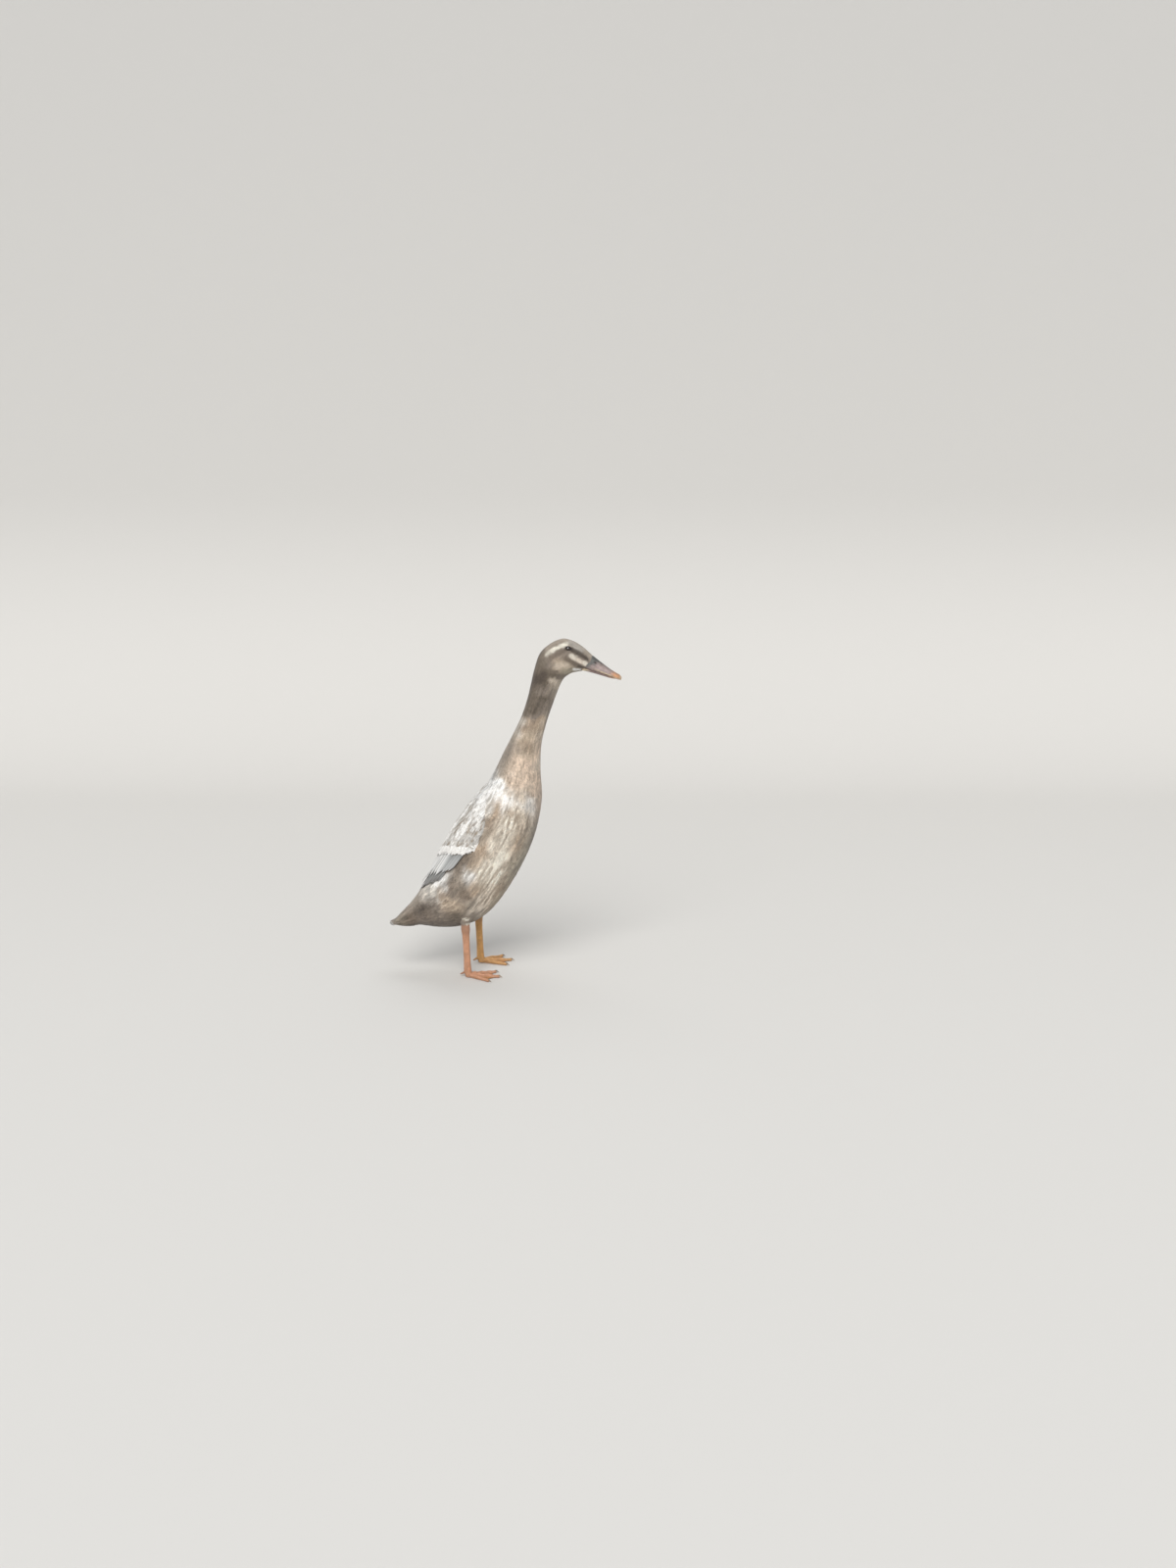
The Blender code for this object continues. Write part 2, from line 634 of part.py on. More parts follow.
WING_TIERS = (
    Tier("primary", 4, (2.90, 3.05), (1.40, 2.45), (26.0, 50.0), (28.0, 52.0),
         (1.6 * MM, 1.8 * MM), 0.35 * MM, 0.6 * MM, 0.25, 5),
    Tier("secondary", 6, (4.00, 4.55), (1.85, 3.05), (15.0, 62.0), (20.0, 60.0),
         (2.3 * MM, 4.4 * MM), 0.55 * MM, 0.6 * MM, 0.40, 5),
    Tier("tertial", 3, (4.10, 4.10), (1.60, 2.20), (10.0, 24.0), (9.0, 22.0),
         (3.6 * MM, 6.3 * MM), 0.45 * MM, 0.6 * MM, 0.30, 5),
    Tier("greater covert", 7, (4.30, 5.00), (3.20, 4.10), (12.0, 63.0), (10.0, 64.5),
         (2.4 * MM, 6.6 * MM), 0.65 * MM),
    Tier("median covert", 6, (4.90, 5.50), (3.95, 4.75), (13.0, 60.0), (10.5, 64.0),
         (2.4 * MM, 6.6 * MM), 0.65 * MM),
    Tier("lesser covert", 5, (5.50, 5.95), (4.62, 5.30), (15.0, 52.0), (11.0, 60.0),
         (2.4 * MM, 6.6 * MM), 0.65 * MM),
    Tier("marginal covert", 4, (6.05, 6.35), (5.25, 5.80), (16.0, 38.0), (12.0, 53.0),
         (2.2 * MM, 6.4 * MM), 0.65 * MM),
)
VANE_OVERLAP = 1.22           # how wide a vane is against the space to its neighbour


def wing_point(body, side):
    """Maps (place, degrees round the body, metres off the body) to space."""
    def place_of(place, degrees, lift):
        return body.lifted(place, side * math.radians(degrees), max(lift, SKIN_CLEARANCE))
    return place_of


def make_wing_pad(name, place_of, parts):
    """The flesh and small feathers of the folded wing, which the tiers grow from."""
    rows, depth = [], []
    for place, inner, outer, thick in WING_EDGES:
        row, heights = [], []
        for k in range(PAD_COLUMNS):
            share = k / (PAD_COLUMNS - 1)
            height = thick * (0.35 + 0.65 * math.sin(math.pi * share) ** 0.6)
            row.append((place, inner + (outer - inner) * share, SKIN_CLEARANCE + height))
            heights.append(height)
        rows.append(row)
        depth.append(heights)
    return plate(f"wing_{name}", rows, lambda i, k: depth[i][k], place_of, parts)


def between(pair, share):
    return pair[0] + (pair[1] - pair[0]) * share


def make_tier(tier, place_of, parts):
    made = []
    for k in range(tier.count):
        share = k / (tier.count - 1)
        half_widths = [
            VANE_OVERLAP * abs(angles[1] - angles[0]) / (tier.count - 1) / 2
            for angles in (tier.root_angles, tier.tip_angles)
        ]
        root = (between(tier.root_places, share), between(tier.root_angles, share))
        tip = (between(tier.tip_places, share), between(tier.tip_angles, share))
        made.append(vane(
            tier.name, place_of, root, tip, half_widths, tier.lifts, tier.lean, tier.thickness,
            parts, tier.pointed, tier.rows,
        ))
    return made


def make_wing(body, name, parts):
    place_of = wing_point(body, SIDES[name])
    wing = make_wing_pad(name, place_of, parts)
    vanes = [v for tier in WING_TIERS for v in make_tier(tier, place_of, parts)]
    return combined(wing, vanes, "UNION", CLEAN_SOLVER)


# The tail: long feathers fanned from the core's end, and shorter coverts above and below.
TAIL_PAIRS = 5                  # to each side of the middle feather, which lies on top
TAIL_FAN = 15.0                 # degrees from the middle feather to the outermost
TAIL_ROOT = (-0.1620, 0.0915)   # x, z of the middle feather's root
TAIL_LENGTH = 0.0278
TAIL_SLOPE = 21.0               # degrees below the level, going back
TAIL_SPREAD = 10.5 * MM         # from the middle feather's root to the outermost's
TAIL_DROP = 2.4 * MM            # how much lower the outermost's root is
TAIL_HALF_WIDTH = 2.6 * MM
TAIL_COVERT_ROWS = (            # root place, tip place, pairs beside the middle one, reach
    (0.30, 1.50, 2, 62.0),
    (1.35, 2.60, 2, 60.0),
)


def make_tail_feather(k, parts):
    """One long tail feather, counted from the middle one, each lower than the last."""
    share = k / TAIL_PAIRS
    fan = math.radians(TAIL_FAN) * share
    slope = math.radians(TAIL_SLOPE)
    way = np.array([-math.cos(slope) * math.cos(fan), math.sin(fan), -math.sin(slope) * math.cos(fan)])
    up = np.array([-math.sin(slope), 0, math.cos(slope)])
    side_way = np.cross(way, up)
    start = np.array([TAIL_ROOT[0], TAIL_SPREAD * share, TAIL_ROOT[1]])
    start -= up * (TAIL_DROP * abs(share) + (0.0 if k else -0.5 * MM))
    length = TAIL_LENGTH * (1 - 0.16 * share**2)
    lean = 0.55 * MM * (k > 0) - 0.55 * MM * (k < 0)

    def place_of(u, v, w):
        return start + way * u + side_way * v + up * w

    return vane(
        "tail feather", place_of, (0, 0), (length, 0), (0.8 * TAIL_HALF_WIDTH, 1.15 * TAIL_HALF_WIDTH),
        (0.0, 0.0), lean, 0.6 * MM, parts, 0.5, 4,
    )


def make_tail(parts):
    core_form = Form(TAIL_CORE)
    rings = body_span(core_form, 0, len(TAIL_CORE) - 1, 2, BODY_SEGMENTS, start_gap=GAP)
    tail = loft("tail", rings, parts)
    pieces = [make_tail_feather(k, parts) for k in range(-TAIL_PAIRS, TAIL_PAIRS + 1)]
    for root_place, tip_place, pairs, reach in TAIL_COVERT_ROWS:
        for base_angle in (0.0, 180.0):
            for k in range(-pairs, pairs + 1):
                angle = math.radians(base_angle + reach * k / pairs)
                half_width = math.radians(reach / pairs) * 0.60
                lean = 0.5 * MM * ((k > 0) - (k < 0))
                raised = 0.5 * MM * (k == 0)
                pieces.append(vane(
                    "tail covert", core_form.lifted, (root_place, angle), (tip_place, angle),
                    (half_width, half_width), (0.2 * MM + raised, 2.0 * MM + raised), lean,
                    0.6 * MM, parts, 0.45, 4,
                ))
    return combined(tail, pieces, "UNION", CLEAN_SOLVER)


def clear_scene():
    for old in list(bpy.data.objects):
        bpy.data.objects.remove(old)


def main():
    clear_scene()
    parts = bpy.data.collections.new("Indian runner duck")
    bpy.context.scene.collection.children.link(parts)
    plumage = material("plumage", (0.36, 0.28, 0.20), 0.85)
    head_plumage = material("head_plumage", (0.30, 0.25, 0.20), 0.85)
    wing_plumage = material("wing_plumage", (0.55, 0.53, 0.50), 0.75)
    bill_horn = material("bill_horn", (0.42, 0.30, 0.27), 0.45)
    leg_skin = material("leg_skin", (0.60, 0.25, 0.10), 0.55)
    eye_gloss = material("eye_gloss", (0.03, 0.02, 0.015), 0.08)
    body = Form(BODY)

    finish(make_torso(body, parts), plumage)
    finish(make_neck(body, parts), plumage)
    finish(make_head(body, parts), head_plumage)
    finish(make_upper_bill(parts), bill_horn)
    finish(make_lower_bill(parts), bill_horn)
    finish(make_tail(parts), plumage)
    for name, side in SIDES.items():
        finish(make_eye(body, name, side, parts), eye_gloss)
        finish(make_wing(body, name, parts), wing_plumage)
        finish(make_thigh(body, name, parts), plumage)
        finish(make_shank(body, name, parts), leg_skin)
        finish(make_foot(name, parts), leg_skin)


if __name__ == "__main__":
    main()
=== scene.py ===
"""The looks of the Indian runner duck: skin, plumage, bill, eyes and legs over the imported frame.

Everything is in metres in the frame of the solids: +X the way the duck faces, +Y its left, +Z up.
The plumage is real geometry: every feather is a small curved vane rooted on the skin.
"""
import math
from typing import NamedTuple

import bmesh
import bpy
import numpy as np
from mathutils import Matrix, Vector


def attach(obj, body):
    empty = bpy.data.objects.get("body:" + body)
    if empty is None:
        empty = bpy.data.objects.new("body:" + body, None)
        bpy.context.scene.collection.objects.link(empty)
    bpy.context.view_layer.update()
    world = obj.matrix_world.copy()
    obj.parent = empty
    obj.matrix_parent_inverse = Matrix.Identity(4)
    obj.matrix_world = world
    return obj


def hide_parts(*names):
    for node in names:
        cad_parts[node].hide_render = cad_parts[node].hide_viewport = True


MM = 0.001
SIDES = {"right": -1, "left": 1}
rng = np.random.default_rng(11)

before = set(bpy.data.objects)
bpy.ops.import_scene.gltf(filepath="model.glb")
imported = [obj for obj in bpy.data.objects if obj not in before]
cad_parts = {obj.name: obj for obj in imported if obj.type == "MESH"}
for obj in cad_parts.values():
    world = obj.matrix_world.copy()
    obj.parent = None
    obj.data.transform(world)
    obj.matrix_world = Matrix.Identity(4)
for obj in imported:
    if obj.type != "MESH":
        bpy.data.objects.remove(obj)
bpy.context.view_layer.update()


class Station(NamedTuple):
    """A cross-section: its top and bottom points (x, z) in the mid plane, and its half width."""

    name: str
    top: tuple
    bottom: tuple
    half_width: float
    bottom_heavy: float = 0.0
    coat: float = 2.6             # how thick the plumage lies there, in millimetres


# The duck from the tail's core to the bill, as in the solids. Places count these rows from 0.
BODY = (
    Station("core end", (-0.1780, 0.0875), (-0.1745, 0.0785), 0.0130, 0.0, 1.0),
    Station("feather roots", (-0.1710, 0.0950), (-0.1620, 0.0765), 0.0175, 0.0, 1.6),
    Station("coverts", (-0.1620, 0.1045), (-0.1480, 0.0765), 0.0200, 0.0, 2.0),
    Station("rump end", (-0.1520, 0.1150), (-0.1340, 0.0785), 0.0210, 0.0, 2.2),
    Station("rump", (-0.1380, 0.1342), (-0.1000, 0.0760), 0.0370, 0.0, 2.6),
    Station("hip", (-0.1200, 0.1628), (-0.0560, 0.0825), 0.0495, 0.04, 2.8),
    Station("belly", (-0.1027, 0.1953), (-0.0190, 0.1070), 0.0555, 0.06, 3.0),
    Station("middle", (-0.0790, 0.2355), (0.0160, 0.1560), 0.0565, 0.06, 3.0),
    Station("low breast", (-0.0545, 0.2700), (0.0420, 0.2060), 0.0540, 0.05, 3.0),
    Station("breast", (-0.0295, 0.3045), (0.0565, 0.2500), 0.0490, 0.04, 2.8),
    Station("shoulder", (-0.0120, 0.3335), (0.0625, 0.2930), 0.0405, 0.02, 2.5),
    Station("neck base", (0.0030, 0.3640), (0.0610, 0.3380), 0.0310, 0.0, 2.1),
    Station("low neck", (0.0165, 0.3900), (0.0625, 0.3750), 0.0230, 0.0, 1.6),
    Station("mid neck", (0.0310, 0.4190), (0.0705, 0.4090), 0.0190, 0.0, 1.2),
    Station("high neck", (0.0410, 0.4480), (0.0815, 0.4415), 0.0180, 0.0, 1.1),
    Station("nape", (0.0475, 0.4740), (0.0915, 0.4680), 0.0182, 0.0, 1.0),
    Station("head base", (0.0520, 0.4930), (0.0985, 0.4810), 0.0188, 0.02, 0.9),
    Station("back of head", (0.0610, 0.5190), (0.1060, 0.4870), 0.0198, 0.08, 0.7),
    Station("back of crown", (0.0770, 0.5345), (0.1110, 0.4896), 0.0206, 0.12, 0.65),
    Station("crown", (0.0960, 0.5425), (0.1155, 0.4908), 0.0202, 0.14, 0.6),
    Station("brow", (0.1120, 0.5395), (0.1190, 0.4915), 0.0180, 0.12, 0.55),
    Station("forehead", (0.1270, 0.5310), (0.1225, 0.4920), 0.0148, 0.08, 0.5),
    Station("bill base", (0.1440, 0.5160), (0.1270, 0.4926), 0.0112, 0.04, 0.4),
)
LAST = len(BODY) - 1

UPPER_BILL = (
    Station("base", (0.1440, 0.5155), (0.1305, 0.4966), 0.0104, 0.42),
    Station("nostril", (0.1515, 0.5102), (0.1396, 0.4932), 0.0102, 0.40),
    Station("bridge", (0.1600, 0.5036), (0.1500, 0.4900), 0.0101, 0.34),
    Station("spoon", (0.1700, 0.4961), (0.1622, 0.4863), 0.0112, 0.22),
    Station("widest", (0.1785, 0.4905), (0.1735, 0.4826), 0.0120, 0.10),
    Station("near tip", (0.1840, 0.4872), (0.1815, 0.4798), 0.0108, 0.04),
    Station("tip", (0.1872, 0.4842), (0.1866, 0.4784), 0.0082),
)
LOWER_BILL = (
    Station("base", (0.1302, 0.4984), (0.1272, 0.4936), 0.0088, -0.10),
    Station("branch", (0.1396, 0.4958), (0.1380, 0.4910), 0.0087, -0.10),
    Station("bridge", (0.1502, 0.4924), (0.1490, 0.4880), 0.0088, -0.10),
    Station("spoon", (0.1622, 0.4886), (0.1612, 0.4844), 0.0098, -0.10),
    Station("widest", (0.1732, 0.4850), (0.1725, 0.4813), 0.0104, -0.10),
    Station("tip", (0.1806, 0.4824), (0.1800, 0.4803), 0.0066, -0.10),
)
NOSTRIL_CENTRE = (0.1478, 0.5058)     # of the side view, as the eye's below
EYE_X, EYE_Z = 0.1061, 0.5292
EYE_RADIUS, EYE_SUNK = 5.0 * MM, 3.75 * MM

HOCK_Z, ANKLE_Z = 0.0850, 0.0110
HOCK_X = {"right": -0.0605, "left": -0.0455}
FOOT_X = {"right": -0.0585, "left": -0.0435}
LEG_Y = 0.0320

# Plumage and skin colours, as the share of light they give back.
WHITE = (0.82, 0.80, 0.77)
CREAM = (0.72, 0.67, 0.58)
BROW_CREAM = (0.70, 0.66, 0.57)
PINK_CREAM = (0.64, 0.56, 0.47)
PALE_BUFF = (0.56, 0.48, 0.39)
PINK_BUFF = (0.58, 0.46, 0.36)
BUFF = (0.46, 0.37, 0.28)
BUFF_BROWN = (0.37, 0.285, 0.21)
GREY_BUFF = (0.34, 0.29, 0.235)
GREY_BROWN = (0.235, 0.195, 0.16)
BROWN = (0.165, 0.130, 0.100)
DARK_BROWN = (0.075, 0.058, 0.046)
DUSK = (0.135, 0.108, 0.082)
OLIVE = (0.215, 0.185, 0.140)
OLIVE_BUFF = (0.36, 0.32, 0.245)
PALE_GREY = (0.46, 0.43, 0.39)
SILVER = (0.64, 0.645, 0.64)
SLATE = (0.20, 0.205, 0.205)
UNDER_SHADE = 0.8                 # what lies under the feathers keeps this share of their colour


def ramp(low, high, value):
    """0 up to low, 1 from high on, and a smooth rise between them."""
    t = np.clip((value - low) / (high - low), 0.0, 1.0)
    return t * t * (3 - 2 * t)


def hump(offset, reach):
    """1 in the middle, fading to both sides."""
    return np.exp(-((offset / reach) ** 2))


def mix(a, b, share):
    share = np.asarray(share)[..., None]
    return np.asarray(a) * (1 - share) + np.asarray(b) * share


def between(pair, share):
    return pair[0] + (pair[1] - pair[0]) * share


def stack(*parts):
    return np.stack(np.broadcast_arrays(*parts), axis=-1)


def grid(rows, columns):
    return np.meshgrid(rows, columns, indexing="ij")


def circle(count):
    return np.arange(count) / count * math.tau


def noise(points, scale, seed=0):
    """Smooth random values from 0 to 1 over space, the same on every run."""
    q = points / scale + seed * 7.31 + 1000.0
    cell = np.floor(q).astype(np.int64)
    f = q - cell
    f = f * f * (3 - 2 * f)
    total = 0.0
    for corner in range(8):
        step = np.array([corner & 1, corner >> 1 & 1, corner >> 2 & 1])
        c = cell + step
        h = (c[..., 0] * 73856093) ^ (c[..., 1] * 19349663) ^ (c[..., 2] * 83492791) ^ (seed * 2654435)
        h = (h ^ (h >> 13)) * 1274126177 & 0x7FFFFFFF
        weight = np.prod(np.where(step, f, 1 - f), axis=-1)
        total = total + weight * (h / 0x7FFFFFFF)
    return total


class Form:
    """A smooth form between a top rail and a bottom rail. Angle 0 is its top line, + is leftward."""

    def __init__(self, stations, aside=0.0):
        self.rows = np.array(
            [(*s.top, *s.bottom, s.half_width, s.bottom_heavy, s.coat * MM) for s in stations]
        )
        self.last = len(stations) - 1
        self.aside = aside
        self.sense = 1
        outward = self.frames(self.last / 2, 0.0)[1]
        top_way = self.points(self.last / 2, 0.0) - self.points(self.last / 2, math.pi)
        self.sense = 1 if outward @ top_way > 0 else -1

    def values(self, places):
        rows, last = self.rows, self.last
        padded = np.vstack([2 * rows[0] - rows[1], rows, 2 * rows[last] - rows[last - 1]])
        places = np.asarray(places, float)
        i = np.clip(np.floor(places).astype(int), 0, last - 1)
        t = (places - i)[..., None]
        before, start, end, after = (padded[i + k] for k in range(4))
        return (
            (2 * t**3 - 3 * t**2 + 1) * start
            + (t**3 - 2 * t**2 + t) * (end - before) / 2
            + (3 * t**2 - 2 * t**3) * end
            + (t**3 - t**2) * (after - start) / 2
        )

    def points(self, places, angles):
        places, angles = np.broadcast_arrays(np.asarray(places, float), np.asarray(angles, float))
        v = self.values(places)
        top, bottom = v[..., 0:2], v[..., 2:4]
        middle, reach = (top + bottom) / 2, (top - bottom) / 2
        flat = middle + reach * np.cos(angles)[..., None]
        across = v[..., 4] * np.sin(angles) * (1 - v[..., 5] * np.cos(angles))
        return stack(flat[..., 0], across + self.aside, flat[..., 1])

    def frames(self, places, angles):
        """Points, outward directions, and how points move with place and with angle."""
        step = 0.01
        here = self.points(places, angles)
        along = self.points(np.add(places, step), angles) - self.points(np.subtract(places, step), angles)
        round_it = self.points(places, np.add(angles, step)) - self.points(places, np.subtract(angles, step))
        outward = np.cross(along, round_it) * self.sense
        outward /= np.linalg.norm(outward, axis=-1, keepdims=True) + 1e-12
        return here, outward, along / (2 * step), round_it / (2 * step)

    def coat(self, places):
        return self.values(places)[..., 6]


body = Form(BODY)
LAST = body.last

# How far along the body each place lies, down its side.
RUN_PLACES = np.linspace(0, LAST, 600)
RUN_TRACK = body.points(RUN_PLACES, math.radians(100))
RUN = np.concatenate([[0], np.cumsum(np.linalg.norm(np.diff(RUN_TRACK, axis=0), axis=1))])


def degrees_from_back(angles):
    return np.abs(np.degrees((angles + math.pi) % math.tau - math.pi))


def along_the_lie(places, angles):
    """Positions stretched so that noise in them runs in streaks along the feathers."""
    radius = body.values(places)[..., 4]
    run = np.interp(places, RUN_PLACES, RUN)
    return stack(run * 0.17, radius * np.cos(angles), radius * np.sin(angles))


# The size of the noise along the feathers: waves of the coat, streaks and broad blotches of colour.
WAVE_SIZE, STREAK_SIZE, BROAD_SIZE = 0.009, 0.0026, 0.0085

# The body's relief: name, place, degrees from the back, reach in places and in degrees, and
# height in millimetres.
RELIEF = (
    ("puffed flank behind the wing", 6.35, 90, 0.60, 20, 1.7),
    ("hollow above it", 6.45, 67, 0.30, 9, -1.6),
    ("hollow behind it", 5.80, 70, 0.28, 20, -1.6),
    ("thigh", 5.55, 100, 0.50, 17, 2.2),
    ("fold behind the thigh", 4.95, 100, 0.22, 22, -1.5),
    ("fold before the thigh", 6.15, 122, 0.35, 12, -1.4),
    ("vent", 4.25, 95, 0.45, 35, 1.2),
    ("shoulder", 9.30, 58, 0.50, 20, 1.6),
    ("hollow under the shoulder", 8.60, 84, 0.60, 11, -1.2),
    ("side of the breast", 8.70, 112, 0.90, 16, 1.0),
    ("cheek", 17.9, 100, 0.9, 26, 0.9),
    ("hollow before the eye", 20.6, 66, 0.5, 12, -0.6),
)


def relief(places, angles):
    degrees = degrees_from_back(angles)
    total = 0.0
    for _, place, middle, place_reach, degree_reach, height in RELIEF:
        far = ((places - place) / place_reach) ** 2 + ((degrees - middle) / degree_reach) ** 2
        total = total + height * MM * np.exp(-far)
    waves = noise(along_the_lie(places, angles), WAVE_SIZE, 21) - 0.5
    return total + waves * np.clip(body.coat(places), 0, 3 * MM) * 0.45


def grid_quads(rows, columns, closed=False):
    """The quads of a grid of points, row by row."""
    wide = columns if closed else columns - 1
    i, k = grid(np.arange(rows - 1), np.arange(wide))
    a = i * columns + k
    b = i * columns + (k + 1) % columns
    return stack(a, b, b + columns, a + columns).reshape(-1, 4)


def plate_quads(rows, columns):
    """The quads of a thin closed plate: its top, its underside with the same count, and its edge."""
    sheet = grid_quads(rows, columns)
    size = rows * columns
    rim = list(range(columns)) + [i * columns + columns - 1 for i in range(1, rows)]
    rim += [(rows - 1) * columns + k for k in range(columns - 2, -1, -1)]
    rim = np.array(rim + [i * columns for i in range(rows - 2, 0, -1)])
    after = np.roll(rim, -1)
    edge = stack(after, rim, rim + size, after + size)
    return np.vstack([sheet, sheet[:, ::-1] + size, edge])


def add_layers(mesh, colours, vane):
    """The colour and the vane coordinates that the materials read."""
    if colours is not None:
        four = np.ones((len(mesh.vertices), 4), np.float32)
        four[:, :3] = np.clip(np.asarray(colours).reshape(-1, 3), 0.0, 0.92)
        layer = mesh.color_attributes.new("Col", "FLOAT_COLOR", "POINT")
        layer.data.foreach_set("color", four.ravel())
    if vane is not None:
        layer = mesh.attributes.new("vane", "FLOAT_VECTOR", "POINT")
        layer.data.foreach_set("vector", np.asarray(vane, np.float32).ravel())


def make_mesh(name, points, quads, colours=None, bake_uv=None, vane=None, normals=None):
    """A smooth-shaded mesh object with its colour, baking map and vane coordinates."""
    points = np.asarray(points, np.float32).reshape(-1, 3)
    quads = np.asarray(quads, np.int32)
    mesh = bpy.data.meshes.new(name)
    mesh.vertices.add(len(points))
    mesh.vertices.foreach_set("co", points.ravel())
    mesh.loops.add(quads.size)
    mesh.loops.foreach_set("vertex_index", quads.ravel())
    mesh.polygons.add(len(quads))
    mesh.polygons.foreach_set("loop_start", np.arange(0, quads.size, 4, dtype=np.int32))
    mesh.polygons.foreach_set("use_smooth", np.ones(len(quads), bool))
    mesh.update(calc_edges=True)
    mesh.validate()
    add_layers(mesh, colours, vane)
    if bake_uv is not None:
        order = np.empty(len(mesh.loops), np.int32)
        mesh.loops.foreach_get("vertex_index", order)
        layer = mesh.uv_layers.new(name="OFBake")
        layer.data.foreach_set("uv", np.asarray(bake_uv, np.float32).reshape(-1, 2)[order].ravel())
    if normals is not None:
        mesh.normals_split_custom_set_from_vertices(np.asarray(normals, np.float32).reshape(-1, 3).tolist())
    made = bpy.data.objects.new(name, mesh)
    bpy.context.scene.collection.objects.link(made)
    return made


def fill_ends(mesh, seam=False):
    """Fills a tube's open ends. A seam along it is welded first."""
    shape = bmesh.new()
    shape.from_mesh(mesh)
    if seam:
        bmesh.ops.remove_doubles(shape, verts=shape.verts, dist=1e-6)
    bmesh.ops.holes_fill(shape, edges=[e for e in shape.edges if e.is_boundary])
    if not seam:
        bmesh.ops.recalc_face_normals(shape, faces=shape.faces)
    shape.to_mesh(mesh)
    shape.free()


def shade_smooth(mesh):
    for polygon in mesh.polygons:
        polygon.use_smooth = True


def hand_in(piece, slot, look, *nodes):
    """Gives a piece its material and its place in the model."""
    piece.data.materials.clear()
    piece.data.materials.append(look)
    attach(piece, "root")
    if nodes:
        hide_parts(*nodes)


# The plumage's ground, shared by skin and coat: place, colour of the back, of the side, of the front.
GROUND_COLOURS = (
    (0.0, OLIVE, OLIVE, OLIVE),
    # From place 2.4 to 4.6 the front colour is painted shade under the rear of the body.
    (2.4, GREY_BROWN, BROWN, DUSK),
    (3.8, GREY_BUFF, BROWN, DUSK),
    (4.6, PALE_GREY, GREY_BROWN, DUSK),
    (5.1, PALE_GREY, BUFF_BROWN, BROWN),
    (5.6, PALE_GREY, GREY_BROWN, GREY_BUFF),
    (6.1, PALE_GREY, GREY_BUFF, BUFF_BROWN),
    (6.8, PALE_GREY, BUFF, BUFF_BROWN),
    (7.5, PALE_GREY, PALE_BUFF, GREY_BUFF),
    (8.3, PALE_GREY, PALE_BUFF, GREY_BUFF),
    (9.0, PALE_GREY, BUFF, GREY_BUFF),
    (9.6, SILVER, PALE_BUFF, PINK_BUFF),
    (10.1, GREY_BUFF, PINK_BUFF, PINK_BUFF),
    (10.8, GREY_BUFF, PINK_BUFF, PINK_BUFF),
    (11.3, GREY_BUFF, PINK_BUFF, PALE_BUFF),
    (11.9, GREY_BUFF, BUFF, PINK_BUFF),
    (12.6, GREY_BUFF, BUFF, PALE_BUFF),
    (12.9, GREY_BROWN, BUFF_BROWN, BUFF),
    (13.2, DUSK, GREY_BROWN, GREY_BUFF),
    (13.9, DUSK, DUSK, GREY_BROWN),
    (14.6, DUSK, GREY_BROWN, GREY_BROWN),
    (15.2, DARK_BROWN, DUSK, GREY_BUFF),
    (16.2, DUSK, DUSK, GREY_BROWN),
    (17.5, GREY_BUFF, GREY_BROWN, OLIVE_BUFF),
    (22.0, GREY_BUFF, GREY_BROWN, OLIVE),
)


class Patch(NamedTuple):
    """A soft patch of colour on both sides of the body, by place and degrees from the back.

    Streaky tells how much the patch breaks up into streaks along the feathers, 0 to 1.
    """

    name: str
    place: float
    degrees: float
    place_reach: float
    degree_reach: float
    colour: tuple
    strength: float
    streaky: float = 0.5


